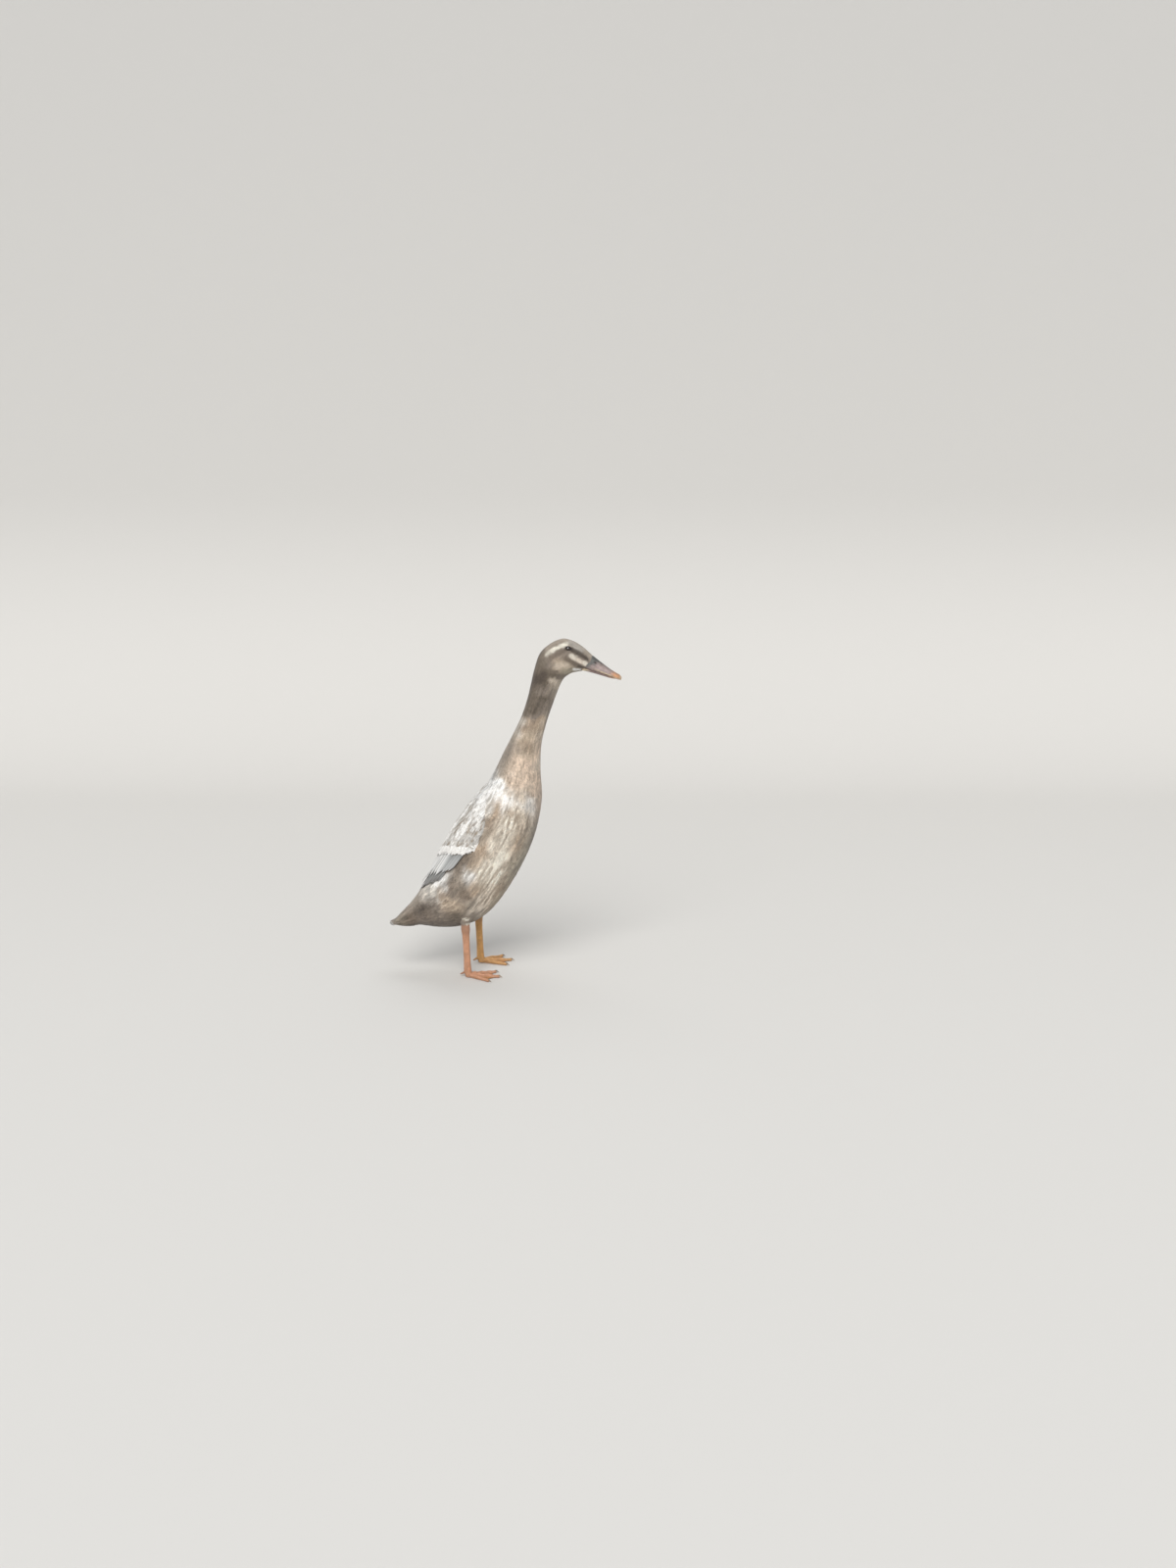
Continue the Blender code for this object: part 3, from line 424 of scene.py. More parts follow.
PATCHES = [Patch(*row) for row in (
    ("grey of the neck's back", 12.50, 42, 0.26, 24, PALE_GREY, 0.45),
    ("brown band of the neck, front", 12.15, 98, 0.18, 24, BUFF_BROWN, 0.75, 0.4),
    ("brown band of the neck, side", 11.75, 70, 0.20, 16, GREY_BROWN, 0.65, 0.4),
    ("brown of the neck's back", 11.20, 40, 0.40, 20, GREY_BROWN, 0.80, 0.4),
    ("brown above the shoulder", 10.55, 28, 0.34, 22, GREY_BROWN, 0.60),
    ("dark above the shoulder", 10.02, 12, 0.24, 20, GREY_BROWN, 0.75),
    ("white shoulder", 9.34, 58, 0.35, 26, WHITE, 0.95),
    ("white of the scapulars", 9.0, 30, 0.6, 26, WHITE, 0.75, 0.7),
    ("white of the shoulder's front", 9.66, 94, 0.28, 18, WHITE, 0.85, 0.6),
    ("white spot under the shoulder", 9.05, 77, 0.14, 8, WHITE, 0.75),
    ("buff of the breast's side", 9.38, 109, 0.14, 9, BUFF, 0.75),
    ("brown of the breast's side", 9.03, 118, 0.16, 10, BUFF_BROWN, 0.60),
    ("white of the upper breast", 9.56, 128, 0.26, 14, WHITE, 1.0, 0.2),
    ("buff of the upper breast", 10.0, 106, 0.34, 22, PALE_BUFF, 0.6),
    ("brown behind the shoulder", 8.62, 69, 0.55, 7, BUFF_BROWN, 0.95, 0.3),
    ("light streaks on the breast side", 8.60, 100, 0.55, 14, CREAM, 0.60, 0.9),
    ("brown along the wing", 7.98, 71, 0.34, 6, BROWN, 0.75, 0.3),
    ("cream of the side", 7.88, 93, 0.28, 10, CREAM, 0.90, 0.7),
    ("pale of the breast side", 8.85, 126, 0.60, 12, PALE_BUFF, 0.65, 0.8),
    ("brown of the breast's underside", 8.15, 129, 0.45, 11, BUFF_BROWN, 0.70, 0.6),
    # Painted shade on the breast's front, which faces away from the light.
    ("painted shade on the breast's front", 8.6, 163, 1.3, 12, GREY_BROWN, 0.50, 0.4),
    ("light flank", 7.25, 106, 0.50, 12, CREAM, 0.80, 0.7),
    ("olive front of the belly", 7.3, 150, 1.1, 14, OLIVE_BUFF, 0.6, 0.8),
    ("pale ahead of the puff", 6.98, 100, 0.28, 10, CREAM, 0.90, 0.7),
    ("pale belly", 6.90, 118, 0.45, 9, CREAM, 0.60, 0.8),
    ("pale low belly", 6.16, 124, 0.36, 13, PINK_CREAM, 1.0, 0.7),
    ("pale thigh", 5.86, 131, 0.26, 12, PINK_CREAM, 0.8, 0.7),
    ("brown under the bar", 7.40, 81, 0.48, 10, BUFF_BROWN, 1.0, 0.3),
    # Painted shade in the hollow under the wing's edge.
    ("painted shade under the wing", 6.66, 69, 0.40, 10, BROWN, 0.85, 0.3),
    ("brown by the wing's edge", 6.42, 60, 0.20, 6, BROWN, 0.8, 0.2),
    ("white puff", 6.47, 86, 0.17, 8, WHITE, 1.0, 0.3),
    ("brown behind the puff", 6.04, 98, 0.26, 14, BROWN, 0.95, 0.2),
    ("brown below the puff", 6.38, 104, 0.16, 9, BUFF_BROWN, 0.90, 0.4),
    ("brown behind the wing", 5.80, 72, 0.20, 10, BROWN, 0.80, 0.4),
    ("light rump side", 5.30, 46, 0.40, 12, WHITE, 0.75, 0.6),
    ("white by the wing's tip", 5.76, 56, 0.24, 6, WHITE, 1.0, 0.2),
    ("white of the rump", 4.75, 46, 0.30, 12, CREAM, 0.45, 0.8),
    ("buff of the rump side", 5.20, 96, 0.30, 14, BUFF, 0.9),
    ("grey of the rump side", 4.85, 66, 0.30, 12, PALE_GREY, 0.6, 0.7),
    # Painted shade under the rump.
    ("painted shade under the rump", 4.95, 119, 0.50, 15, DUSK, 0.90, 0.3),
    ("dark tail covert", 3.75, 66, 0.42, 20, DARK_BROWN, 0.70, 0.6),
)]


class Stripe(NamedTuple):
    """A mark on both sides of the head, along points (x, z) of its side view, in millimetres."""

    name: str
    reach: float
    colour: tuple
    strength: float
    soft: float
    path: tuple


HEAD_STRIPES = [Stripe(*row) for row in (
    ("cheek", 8.5, BUFF, 0.9, 0.9, ((90, 505), (98.5, 503), (105, 500))),
    ("light of the cheek", 4.6, PALE_BUFF, 0.8, 0.9, ((89, 502), (96.5, 504.5), (103, 503))),
    ("ear", 4.5, GREY_BROWN, 0.7, 0.9, ((76, 502), (80, 505))),
    ("olive of the chin", 5.0, OLIVE_BUFF, 0.8, 0.9, ((100, 493), (109, 494.5))),
    # Painted shade along the head's lower edge, over the throat.
    ("painted shade under the head", 3.6, BROWN, 0.45, 0.9, ((96, 487), (103, 485))),
    ("nape", 5.2, DUSK, 0.85, 0.9, ((66.5, 522.5), (61.5, 513), (56.5, 499))),
    ("side of the nape", 5.5, DARK_BROWN, 0.8, 0.9, ((68.1, 490), (65, 482), (56, 483))),
    ("front of the upper neck", 4.6, GREY_BUFF, 0.70, 0.9, ((83, 480), (80, 469), (86, 462), (85, 452))),
    ("light of the upper neck", 4.2, PALE_BUFF, 0.70, 0.9, ((79, 479.5), (89, 476.5), (89.5, 469))),
    ("crown", 3.0, GREY_BROWN, 0.5, 0.8, ((64, 524), (78.7, 532.9), (93, 539))),
    ("forehead", 4.2, PALE_GREY, 0.65, 0.9, ((110, 536), (117, 531), (125, 526))),
    ("behind the eye", 4.2, BROWN, 0.70, 0.9, ((101, 526.5), (89.5, 520.6), (78.9, 515))),
    ("end of the brow line", 2.8, BROW_CREAM, 0.6, 0.9, ((86.5, 528.5), (78.5, 524), (72.5, 519.5))),
    ("brow line", 2.9, BROW_CREAM, 1.0, 0.6, ((103.5, 534.7), (95.3, 532.5), (86.5, 528.8), (81, 525.2))),
    ("dark of the eye", 3.4, DARK_BROWN, 0.75, 0.7, ((103.5, 529), (109.5, 528))),
    ("stripe ahead of the eye", 3.2, DARK_BROWN, 0.85, 0.7,
     ((109.5, 527.5), (115.2, 525.1), (125.3, 519.2), (134.5, 512))),
    ("brown under the light stripe", 3.6, BROWN, 0.85, 0.7,
     ((101.6, 514), (108.5, 510.2), (117.3, 504.9), (128.5, 500.3))),
    # Painted shade in the crease at the corner of the mouth.
    ("painted shade in the gape", 1.3, DARK_BROWN, 0.9, 0.8, ((121, 501.4), (130, 500.1))),
    ("light stripe to the bill", 3.8, PINK_CREAM, 0.95, 0.6,
     ((110, 518.5), (117.3, 513.5), (125.3, 508.6), (132.2, 505.8))),
    ("bright end of the stripe", 2.8, CREAM, 0.9, 0.8, ((131, 506.2), (133.5, 504))),
    ("bright start of the stripe", 2.8, CREAM, 0.8, 0.9, ((110.5, 518.5), (115, 516))),
    ("chin spot", 2.0, WHITE, 1.0, 0.6, ((114.5, 496.8), (123.5, 495.7))),
)]


def path_distance(x, z, path):
    """How far points of the side view lie from a path."""
    best = np.full(np.shape(x), 1.0)
    for (x0, z0), (x1, z1) in zip(path, path[1:]):
        run = (x1 - x0) ** 2 + (z1 - z0) ** 2
        t = np.clip(((x - x0) * (x1 - x0) + (z - z0) * (z1 - z0)) / run, 0, 1)
        best = np.minimum(best, np.hypot(x - x0 - t * (x1 - x0), z - z0 - t * (z1 - z0)))
    return best


def plumage_colour(points, places, angles):
    """The plumage's colour at points of the body form."""
    degrees = degrees_from_back(angles)
    lie = along_the_lie(places, angles)
    streak = noise(lie, STREAK_SIZE, 5)
    broad = noise(lie, BROAD_SIZE, 1) - 0.5
    on_head = ramp(14.6, 16.0, places)
    marked = ramp(12.4, 13.6, places)
    wander = (1 - on_head) * (noise(points, 0.016, 3) - 0.5)
    roam = (1 - 0.7 * on_head) * (noise(points, 0.014, 4) - 0.5)
    on_neck = ramp(9.3, 10.0, places) * ramp(14.8, 14.0, places)
    places = places + (0.35 + 0.75 * on_neck) * wander
    degrees = degrees + 12 * roam
    at = [row[0] for row in GROUND_COLOURS]
    back, side, front = (
        stack(*(np.interp(places, at, [row[part][c] for row in GROUND_COLOURS]) for c in range(3)))
        for part in (1, 2, 3)
    )
    colour = mix(back, side, ramp(35, 75, degrees))
    colour = mix(colour, front, ramp(105, 150, degrees))
    for patch in PATCHES:
        far = ((places - patch.place) / patch.place_reach) ** 2
        far = far + ((degrees - patch.degrees) / patch.degree_reach) ** 2
        broken = 1 - patch.streaky + patch.streaky * 1.7 * ramp(0.30, 0.68, streak)
        colour = mix(colour, patch.colour, np.clip(patch.strength * np.exp(-0.7 * far) * broken * 1.1, 0, 1))
    for stripe in HEAD_STRIPES:
        wavy = stripe.reach * MM * (0.60 + 0.8 * noise(points, 0.0035, 6))
        far = path_distance(points[..., 0], points[..., 2], np.array(stripe.path) * MM)
        near = ramp(1 + stripe.soft, 1 - stripe.soft, far / wavy)
        colour = mix(colour, stripe.colour, near * stripe.strength * marked)
    shade = 1 + (0.36 - 0.10 * on_head) * broad + (0.60 - 0.30 * on_head) * (streak - 0.5)
    shade = shade + 0.22 * (noise(points, 0.0026, 2) - 0.5)
    return colour * shade[..., None]


def unwrap(turns, places):
    """Where turns round the body, at places along it, lie on the unwrap of its skin."""
    return stack(0.02 + 0.96 * turns, 0.02 + 0.96 * np.asarray(places) / LAST)


def bake_place(places, angles):
    return unwrap((np.asarray(angles) / math.tau) % 1.0, places)


def make_skin(look):
    rows, columns = 220, 120
    places, angles = grid(np.linspace(0.0, LAST, rows), np.linspace(0, math.tau, columns + 1))
    points, outward, _, _ = body.frames(places, angles)
    colours = plumage_colour(points, places, angles) * UNDER_SHADE
    points = points + outward * (relief(places, angles) - body.coat(places))[..., None]
    on_map = unwrap(angles / math.tau, places)
    skin = make_mesh("skin", points, grid_quads(rows, columns + 1), colours, on_map)
    fill_ends(skin.data, seam=True)
    hand_in(skin, "body_plumage", look, "torso", "neck", "head", "thigh_right", "thigh_left")


class Vane(NamedTuple):
    """The outline of a lock of barbs: shares of its length, and its half width at each."""

    along: tuple
    widths: tuple


HAIR_VANE = Vane((0.0, 0.40, 0.75, 1.0), (0.55, 1.0, 0.72, 0.14))
SOFT_VANE = Vane((0.0, 0.45, 0.80, 1.0), (0.60, 1.0, 0.86, 0.20))
FIRM_VANE = Vane((0.0, 0.45, 0.84, 1.0), (0.70, 1.0, 1.00, 0.45))
PATCH_REACH = 0.0015              # half the width of a feather's patch on the baking map
SIZE_SPREAD = 0.09                # how unequal neighbouring feathers are in size
LOCK_WIDTH = 1.9                  # how wide a feather's locks together are, as shares of the feather
SPOT_REACH = 0.42                 # how wide the dark spot along a feather's middle is
FORM_SHARE = 0.68                 # how much a vane is shaded like the form under it


class Plumage(NamedTuple):
    """How a stretch of small feathers looks. Lengths in millimetres, the rest as shares."""

    vane: Vane
    length: float
    width: float
    depth: float          # how far below the outer surface the feathers are rooted
    dark: float           # how dark the spot along their middle is
    spread: float         # how unequal those spots are
    turn: float           # how much the feathers fan out at random, in radians
    locks: int = 1        # how many locks of barbs make one feather
    uneven: float = 0.06  # how unequal in tone the feathers are
    pale: float = 0.12    # how much lighter their edges are
    lift: float = 0.0     # how far their tips stand off


def tufts(name, form, way, plumage, places, angles, paint, raised=None, scale=1.0):
    """Many small feathers as one mesh, laid over a form. way is -1 where they point to lower places."""
    vane, locks, depth = plumage.vane, plumage.locks, plumage.depth * MM
    feathers = len(places)
    count = feathers * locks

    def per_feather(values):
        return np.repeat(values, locks)[:, None, None]

    def per_lock(values):
        return values[:, None, None]

    size = per_feather(rng.normal(1.0, SIZE_SPREAD, feathers) * scale)
    fan = np.tile((np.arange(locks) + 0.5) / locks * 2 - 1, feathers)
    if locks > 1:
        fan = fan + rng.normal(0, 0.10, count)
    fan = per_lock(fan)
    _, _, along, round_it = form.frames(places, angles)
    run = per_feather(np.linalg.norm(along, axis=-1))
    girth = per_feather(np.linalg.norm(round_it, axis=-1)) + 1e-6
    s = np.array(vane.along)[None, :, None]
    w = np.array([-1.0, 0.0, 1.0])[None, None, :]
    length = plumage.length * MM * size * (1 - 0.20 * fan**2)
    if locks > 1:
        length = length * per_lock(rng.normal(1.0, 0.05, count))
    half = plumage.width * MM / 2 * size
    across = half * (1.0 if locks == 1 else LOCK_WIDTH / locks) * np.array(vane.widths)[None, :, None] * w
    ahead = length * s
    yaw = per_feather(rng.normal(0, plumage.turn, feathers)) + np.arctan(0.55 * half / length) * fan
    tailward = ahead * np.cos(yaw) - across * np.sin(yaw)
    sideways = across * np.cos(yaw) + ahead * np.sin(yaw) + 0.30 * half * fan
    at_place = per_feather(places) + way * tailward / run
    at_angle = per_feather(angles) + sideways / girth
    base, normal, _, _ = form.frames(at_place, at_angle)
    height = -depth * (1 - s) ** 1.25 - 0.10 * np.abs(across) * np.abs(w) - 0.07 * half * fan**2
    height = height + plumage.lift * MM * s**3 + per_feather(rng.normal(0, 0.05 * depth, feathers)) * s
    height = height + per_lock(rng.normal(0, 0.02 * depth, count)) * s
    if form is body:
        height = height + relief(at_place, at_angle)
    if raised is not None:
        height = height + raised(at_place, at_angle)
    points = base + normal * height[..., None]
    down = np.diff(points, axis=1, append=2 * points[:, -1:] - points[:, -2:-1])
    facing = np.cross(down, np.gradient(points, axis=2))
    facing /= np.linalg.norm(facing, axis=-1, keepdims=True) + 1e-12
    facing *= np.where(np.sum(facing * normal, axis=-1, keepdims=True) < 0, -1, 1)
    normals = (1 - FORM_SHARE) * facing + FORM_SHARE * normal
    out = np.clip(fan + w / locks, -1, 1)
    colour = paint(base, at_place, at_angle)
    colour = colour * per_feather(rng.normal(1.0, plumage.uneven, feathers))[..., None]
    colour = colour * per_lock(rng.normal(1.0, 0.04 if locks == 1 else 0.08, count))[..., None]
    edge = np.maximum(ramp(0.55, 1.0, np.abs(out)) * ramp(0.2, 0.6, s), ramp(0.74, 1.0, s))
    colour = colour * (1 + plumage.pale * edge[..., None])
    amount = per_feather(np.clip(rng.normal(plumage.dark, plumage.spread, feathers), 0, 0.95))
    spot = hump(out, SPOT_REACH) * ramp(1.0, 0.72, s)
    colour = colour * (1 - amount * spot)[..., None]
    uv = bake_place(np.repeat(places, locks), np.repeat(angles, locks))[:, None, None]
    uv = uv + PATCH_REACH * stack(out, 2 * s - 1)
    marks = stack(out, s, per_feather(rng.random(feathers)))
    sheet = grid_quads(len(vane.along), 3)[:, ::-way]
    quads = sheet[None] + (np.arange(count) * 3 * len(vane.along))[:, None, None]
    return make_mesh(name, points, quads.reshape(-1, 4), colour, uv, marks, normals)


def scatter(form, first, last, along_step, round_step):
    """Staggered rows of places and angles from one place to another, a little at random."""
    fine = np.linspace(first, last, 400)
    track = form.points(fine, math.radians(100))
    run = np.concatenate([[0], np.cumsum(np.linalg.norm(np.diff(track, axis=0), axis=1))])
    rows = np.interp(np.arange(0, run[-1], along_step * MM), run, fine)
    places, angles = [], []
    for i, place in enumerate(rows):
        ring = form.points(place, np.linspace(0, math.tau, 60))
        girth = np.linalg.norm(np.diff(ring, axis=0), axis=1).sum()
        count = max(6, round(girth / (round_step * MM)))
        row = (np.arange(count) + 0.5 * (i % 2)) / count * math.tau
        angles.append(row + rng.normal(0, 0.25, count) * math.tau / count)
        places.append(place + rng.normal(0, 0.30, count) * (last - first) / max(len(rows), 1))
    places, angles = np.concatenate(places), np.concatenate(angles)
    keep = (places > first) & (places < last)
    return places[keep], angles[keep]


# The folded wing: place, degrees from the back at its inner and outer edge, and its thickness.
WING_EDGES = (
    (4.20, 2.0, 12.0, 1.6 * MM),
    (4.80, 3.0, 30.0, 2.2 * MM),
    (5.42, 4.0, 44.0, 2.8 * MM),
    (6.10, 4.0, 57.0, 3.8 * MM),
    (6.80, 4.0, 63.0, 4.8 * MM),
    (7.20, 4.5, 72.5, 5.4 * MM),
    (7.66, 5.0, 71.0, 5.6 * MM),
    (8.18, 5.0, 65.0, 5.4 * MM),
    (8.64, 6.0, 48.0, 4.4 * MM),
    (8.94, 7.0, 38.0, 3.0 * MM),
    (9.40, 8.0, 22.0, 1.0 * MM),
)
WING_AT = [row[0] for row in WING_EDGES]


def wing_limits(places):
    """The wing's inner and outer edge there in degrees, and its thickness, 0 where there is no wing."""
    inner, outer, thick = (np.interp(places, WING_AT, [row[k] for row in WING_EDGES]) for k in (1, 2, 3))
    there = (places > WING_AT[0]) & (places < WING_AT[-1])
    return inner, outer * there, thick * there


def wing_height(places, angles):
    """How far the folded wing's surface stands over the body."""
    inner, outer, thick = wing_limits(places)
    u = (degrees_from_back(angles) - inner) / np.maximum(outer - inner, 1.0)
    rounded = np.sqrt(np.clip(1 - np.clip((u - 0.86) / 0.14, 0, 1) ** 2, 0, 1))
    profile = (1.22 - 0.22 * ramp(0.0, 0.7, u)) * ramp(-0.22, 0.08, u) * rounded
    return thick * profile


def beside_wing(places, angles):
    """A swell of the body's feathers where they close against the wing's edge."""
    _, outer, thick = wing_limits(places)
    far = degrees_from_back(angles) - outer
    return 0.45 * thick * hump(far - 3, 6.0) * (places > 6.2) * (outer > 0)


def clear_of_wing(places, angles):
    inner, outer, _ = wing_limits(places)
    degrees = degrees_from_back(angles)
    return (degrees > outer - 7) | ((degrees < inner + 3) & (places < 7.2))


def find_eye():
    """The place and angle on the head that shows at the eye's point of the side view."""
    places, angles = grid(np.arange(18.8, 21.0, 0.01), np.arange(0.6, 2.2, 0.01))
    points = body.points(places, angles)
    best = np.argmin(np.hypot(points[..., 0] - EYE_X, points[..., 2] - EYE_Z))
    return places.ravel()[best], angles.ravel()[best]


EYE_PLACE, EYE_ANGLE = find_eye()
EYES = {}
for side_name, side_sign in SIDES.items():
    eye_surface, eye_outward, eye_along, _ = body.frames(EYE_PLACE, EYE_ANGLE * side_sign)
    EYES[side_name] = (eye_surface, eye_outward, -eye_along / np.linalg.norm(eye_along))


def clear_of_eyes(places, angles):
    points = body.points(places, angles)
    clear = np.ones(len(places), bool)
    for surface, outward, back in EYES.values():
        offset = points - surface
        lengthwise = offset @ back
        upward = offset @ np.cross(outward, back)
        reach_back = np.where(lengthwise < 0, 6.6 * MM, 4.3 * MM)
        near = np.abs(offset @ outward) < 8 * MM
        clear &= ~(near & ((lengthwise / reach_back) ** 2 + (upward / (3.7 * MM)) ** 2 < 1))
    return clear


class Coat(NamedTuple):
    """A stretch of plumage: where, how dense in millimetres along and round, and its feathers."""

    name: str
    slot: str
    first: float
    last: float
    along_step: float
    round_step: float
    plumage: Plumage


BODY_PLUMAGE = Plumage(SOFT_VANE, 16.0, 6.4, 1.7, 0.12, 0.10, 0.16, 6, 0.10)
COATS = (
    Coat("coat_tail", "tail_plumage", 0.30, 2.05, 2.0, 2.2,
         Plumage(SOFT_VANE, 11.5, 6.4, 1.0, 0.14, 0.10, 0.10, 5, 0.09)),
    Coat("coat_rump", "tail_plumage", 1.9, 4.0, 3.2, 2.6,
         Plumage(SOFT_VANE, 12.5, 5.0, 1.5, 0.14, 0.10, 0.13, 5, 0.09)),
    Coat("coat_belly", "body_plumage", 4.0, 6.2, 4.0, 3.0, BODY_PLUMAGE),
    Coat("coat_flank", "body_plumage", 6.2, 7.5, 4.0, 3.0, BODY_PLUMAGE),
    Coat("coat_side", "body_plumage", 7.5, 8.8, 4.0, 3.0, BODY_PLUMAGE),
    Coat("coat_breast", "body_plumage", 8.8, 10.2, 3.4, 2.7,
         Plumage(SOFT_VANE, 13.5, 5.6, 1.5, 0.12, 0.09, 0.15, 5, 0.10)),
    Coat("coat_neck_base", "neck_plumage", 10.1, 11.75, 2.5, 2.1,
         Plumage(SOFT_VANE, 9.5, 4.2, 1.4, 0.10, 0.06, 0.15, 4, 0.09)),
    Coat("coat_neck", "neck_plumage", 11.4, 16.25, 1.35, 1.25,
         Plumage(HAIR_VANE, 6.4, 2.3, 0.75, 0.06, 0.06, 0.13, 1, 0.10)),
    Coat("coat_head", "head_plumage", 15.75, 19.1, 0.85, 0.85,
         Plumage(HAIR_VANE, 3.9, 1.50, 0.46, 0.05, 0.05, 0.13, pale=0.10)),
    Coat("coat_face", "head_plumage", 18.9, 22.10, 0.62, 0.66,
         Plumage(HAIR_VANE, 2.8, 1.12, 0.32, 0.04, 0.05, 0.13, pale=0.08)),
)
THIGH_DOWN = 0.9 * MM             # how deep the thigh's skin lies
THIGH_PLUMAGE = Plumage(HAIR_VANE, 7.0, 2.6, 1.0, 0.08, 0.06, 0.18, pale=0.14, lift=0.4)
COVERT_PLUMAGE = Plumage(FIRM_VANE, 12.0, 5.2, 1.4, 0.16, 0.16, 0.12, 5, 0.10, 0.08, 0.10)
BAR_PLUMAGE = Plumage(FIRM_VANE, 7.5, 4.6, 0.8, 0.06, 0.10, 0.16, 5, 0.08, 0.0, 0.35)


def make_coat(coat, look):
    places, angles = scatter(body, coat.first, coat.last, coat.along_step, coat.round_step)
    keep = clear_of_eyes(places, angles) if coat.last > 18 else clear_of_wing(places, angles)
    places, angles = places[keep], angles[keep]
    scale = 0.62 + 0.38 * ramp(1.9, 3.6, places)
    made = tufts(coat.name, body, -1, coat.plumage, places, angles, plumage_colour, beside_wing, scale)
    hand_in(made, coat.slot, look)


def thigh_form(name, side):
    x = HOCK_X[name]
    return Form(
        (
            Station("in the belly", (x + 0.0200, 0.1240), (x - 0.0180, 0.1180), 0.0125, 0.0, 2.0),
            Station("thigh", (x + 0.0155, 0.1095), (x - 0.0135, 0.1055), 0.0116, 0.0, 2.0),
            Station("above the hock", (x + 0.0110, 0.0990), (x - 0.0098, 0.0970), 0.0092, 0.0, 1.2),
            Station("hock", (x + 0.0080, 0.0920), (x - 0.0078, 0.0915), 0.0070, 0.0, 0.4),
        ),
        side * LEG_Y,
    )


def thigh_colour(points, *_):
    tone = noise(points, 0.004, 17)
    colour = mix(GREY_BUFF, CREAM, ramp(0.50, 0.70, tone))
    return mix(colour, GREY_BROWN, 0.8 * ramp(0.52, 0.30, tone))


def make_thigh(name, side, look, skin_look):
    """The feathers of a thigh, down over its hock."""
    form = thigh_form(name, side)

    def core_shape(places, *_):
        return np.full(places.shape, -THIGH_DOWN)

    def core_colour(_, __, points):
        return thigh_colour(points)

    core = closed_loft(f"thigh_core_{name}", form, 24, 32, core_shape, core_colour)
    hand_in(core, "body_plumage", skin_look)
    places, angles = scatter(form, 0.15, form.last - 0.25, 1.7, 1.9)
    scale = 1.0 - 0.35 * ramp(1.2, 3.0, places)
    made = tufts(f"thigh_feathers_{name}", form, 1, THIGH_PLUMAGE, places, angles, thigh_colour, None, scale)
    hand_in(made, "body_plumage", look)


class Tier(NamedTuple):
    """A row of wing feathers. Pairs are the innermost feather's value and the outermost's.

    Lifts, at the root and at the tip, and lean are in millimetres.
    """

    name: str
    count: int
    root_places: tuple
    tip_places: tuple
    root_degrees: tuple
    tip_degrees: tuple
    lifts: tuple
    lean: float
    pointed: float
    overlap: float


WING_TIERS = (
    Tier("primary", 8, (5.90, 6.10), (4.24, 5.36), (20.0, 47.0), (14.0, 44.0), (1.4, 1.9), 0.30, 0.26, 2.0),
    Tier("secondary", 11, (7.0, 7.5), (4.92, 6.08), (14.0, 60.0), (15.0, 55.0), (2.0, 3.9), 0.40, 0.22, 1.8),
    Tier("tertial", 5, (6.80, 6.95), (4.52, 5.30), (5.0, 24.0), (2.6, 20.0), (1.2, 4.3), 0.40, 0.22, 2.0),
    Tier("covert", 20, (7.10, 7.70), (6.04, 6.94), (9.0, 64.0), (8.0, 66.0), (1.6, 5.2), 0.20, 0.28, 2.4),
)
VANE_ROWS, VANE_COLUMNS = 14, 9
VANE_S, VANE_W = grid(np.linspace(0, 1, VANE_ROWS), np.linspace(-1, 1, VANE_COLUMNS))
VANE_THICKNESS = 0.50 * MM
NOTCH = 0.006                     # how deep the tips are ragged, as a share of the length

# Where the wing's pad and its small coverts lie along the body, and how dense the coverts are in
# millimetres along and round.
PAD_PLACES, COVERT_PLACES = (5.9, 9.38), (6.50, 9.36)
COVERT_STEPS = (3.3, 2.6)

# The white bar: the degrees of its feathers, its rows in places, and where its line runs.
BAR_DEGREES = np.arange(1.5, 71.0, 1.9)
BAR_ROWS = (0.01, 0.09, 0.19)
BAR_PLACE, BAR_START, BAR_SLANT = 6.21, 11, 0.0161


def vane_outline(s, pointed):
    """Half width of a large feather's vane at shares of its length, as a share of its greatest."""
    start = 0.55 + 0.45 * ramp(0.0, 0.35, s)
    end = np.sqrt(np.clip(1 - (np.clip(s - (1 - pointed), 0, 1) / pointed) ** 2.4, 0.0, 1.0))
    return start * (0.06 + 0.94 * end)


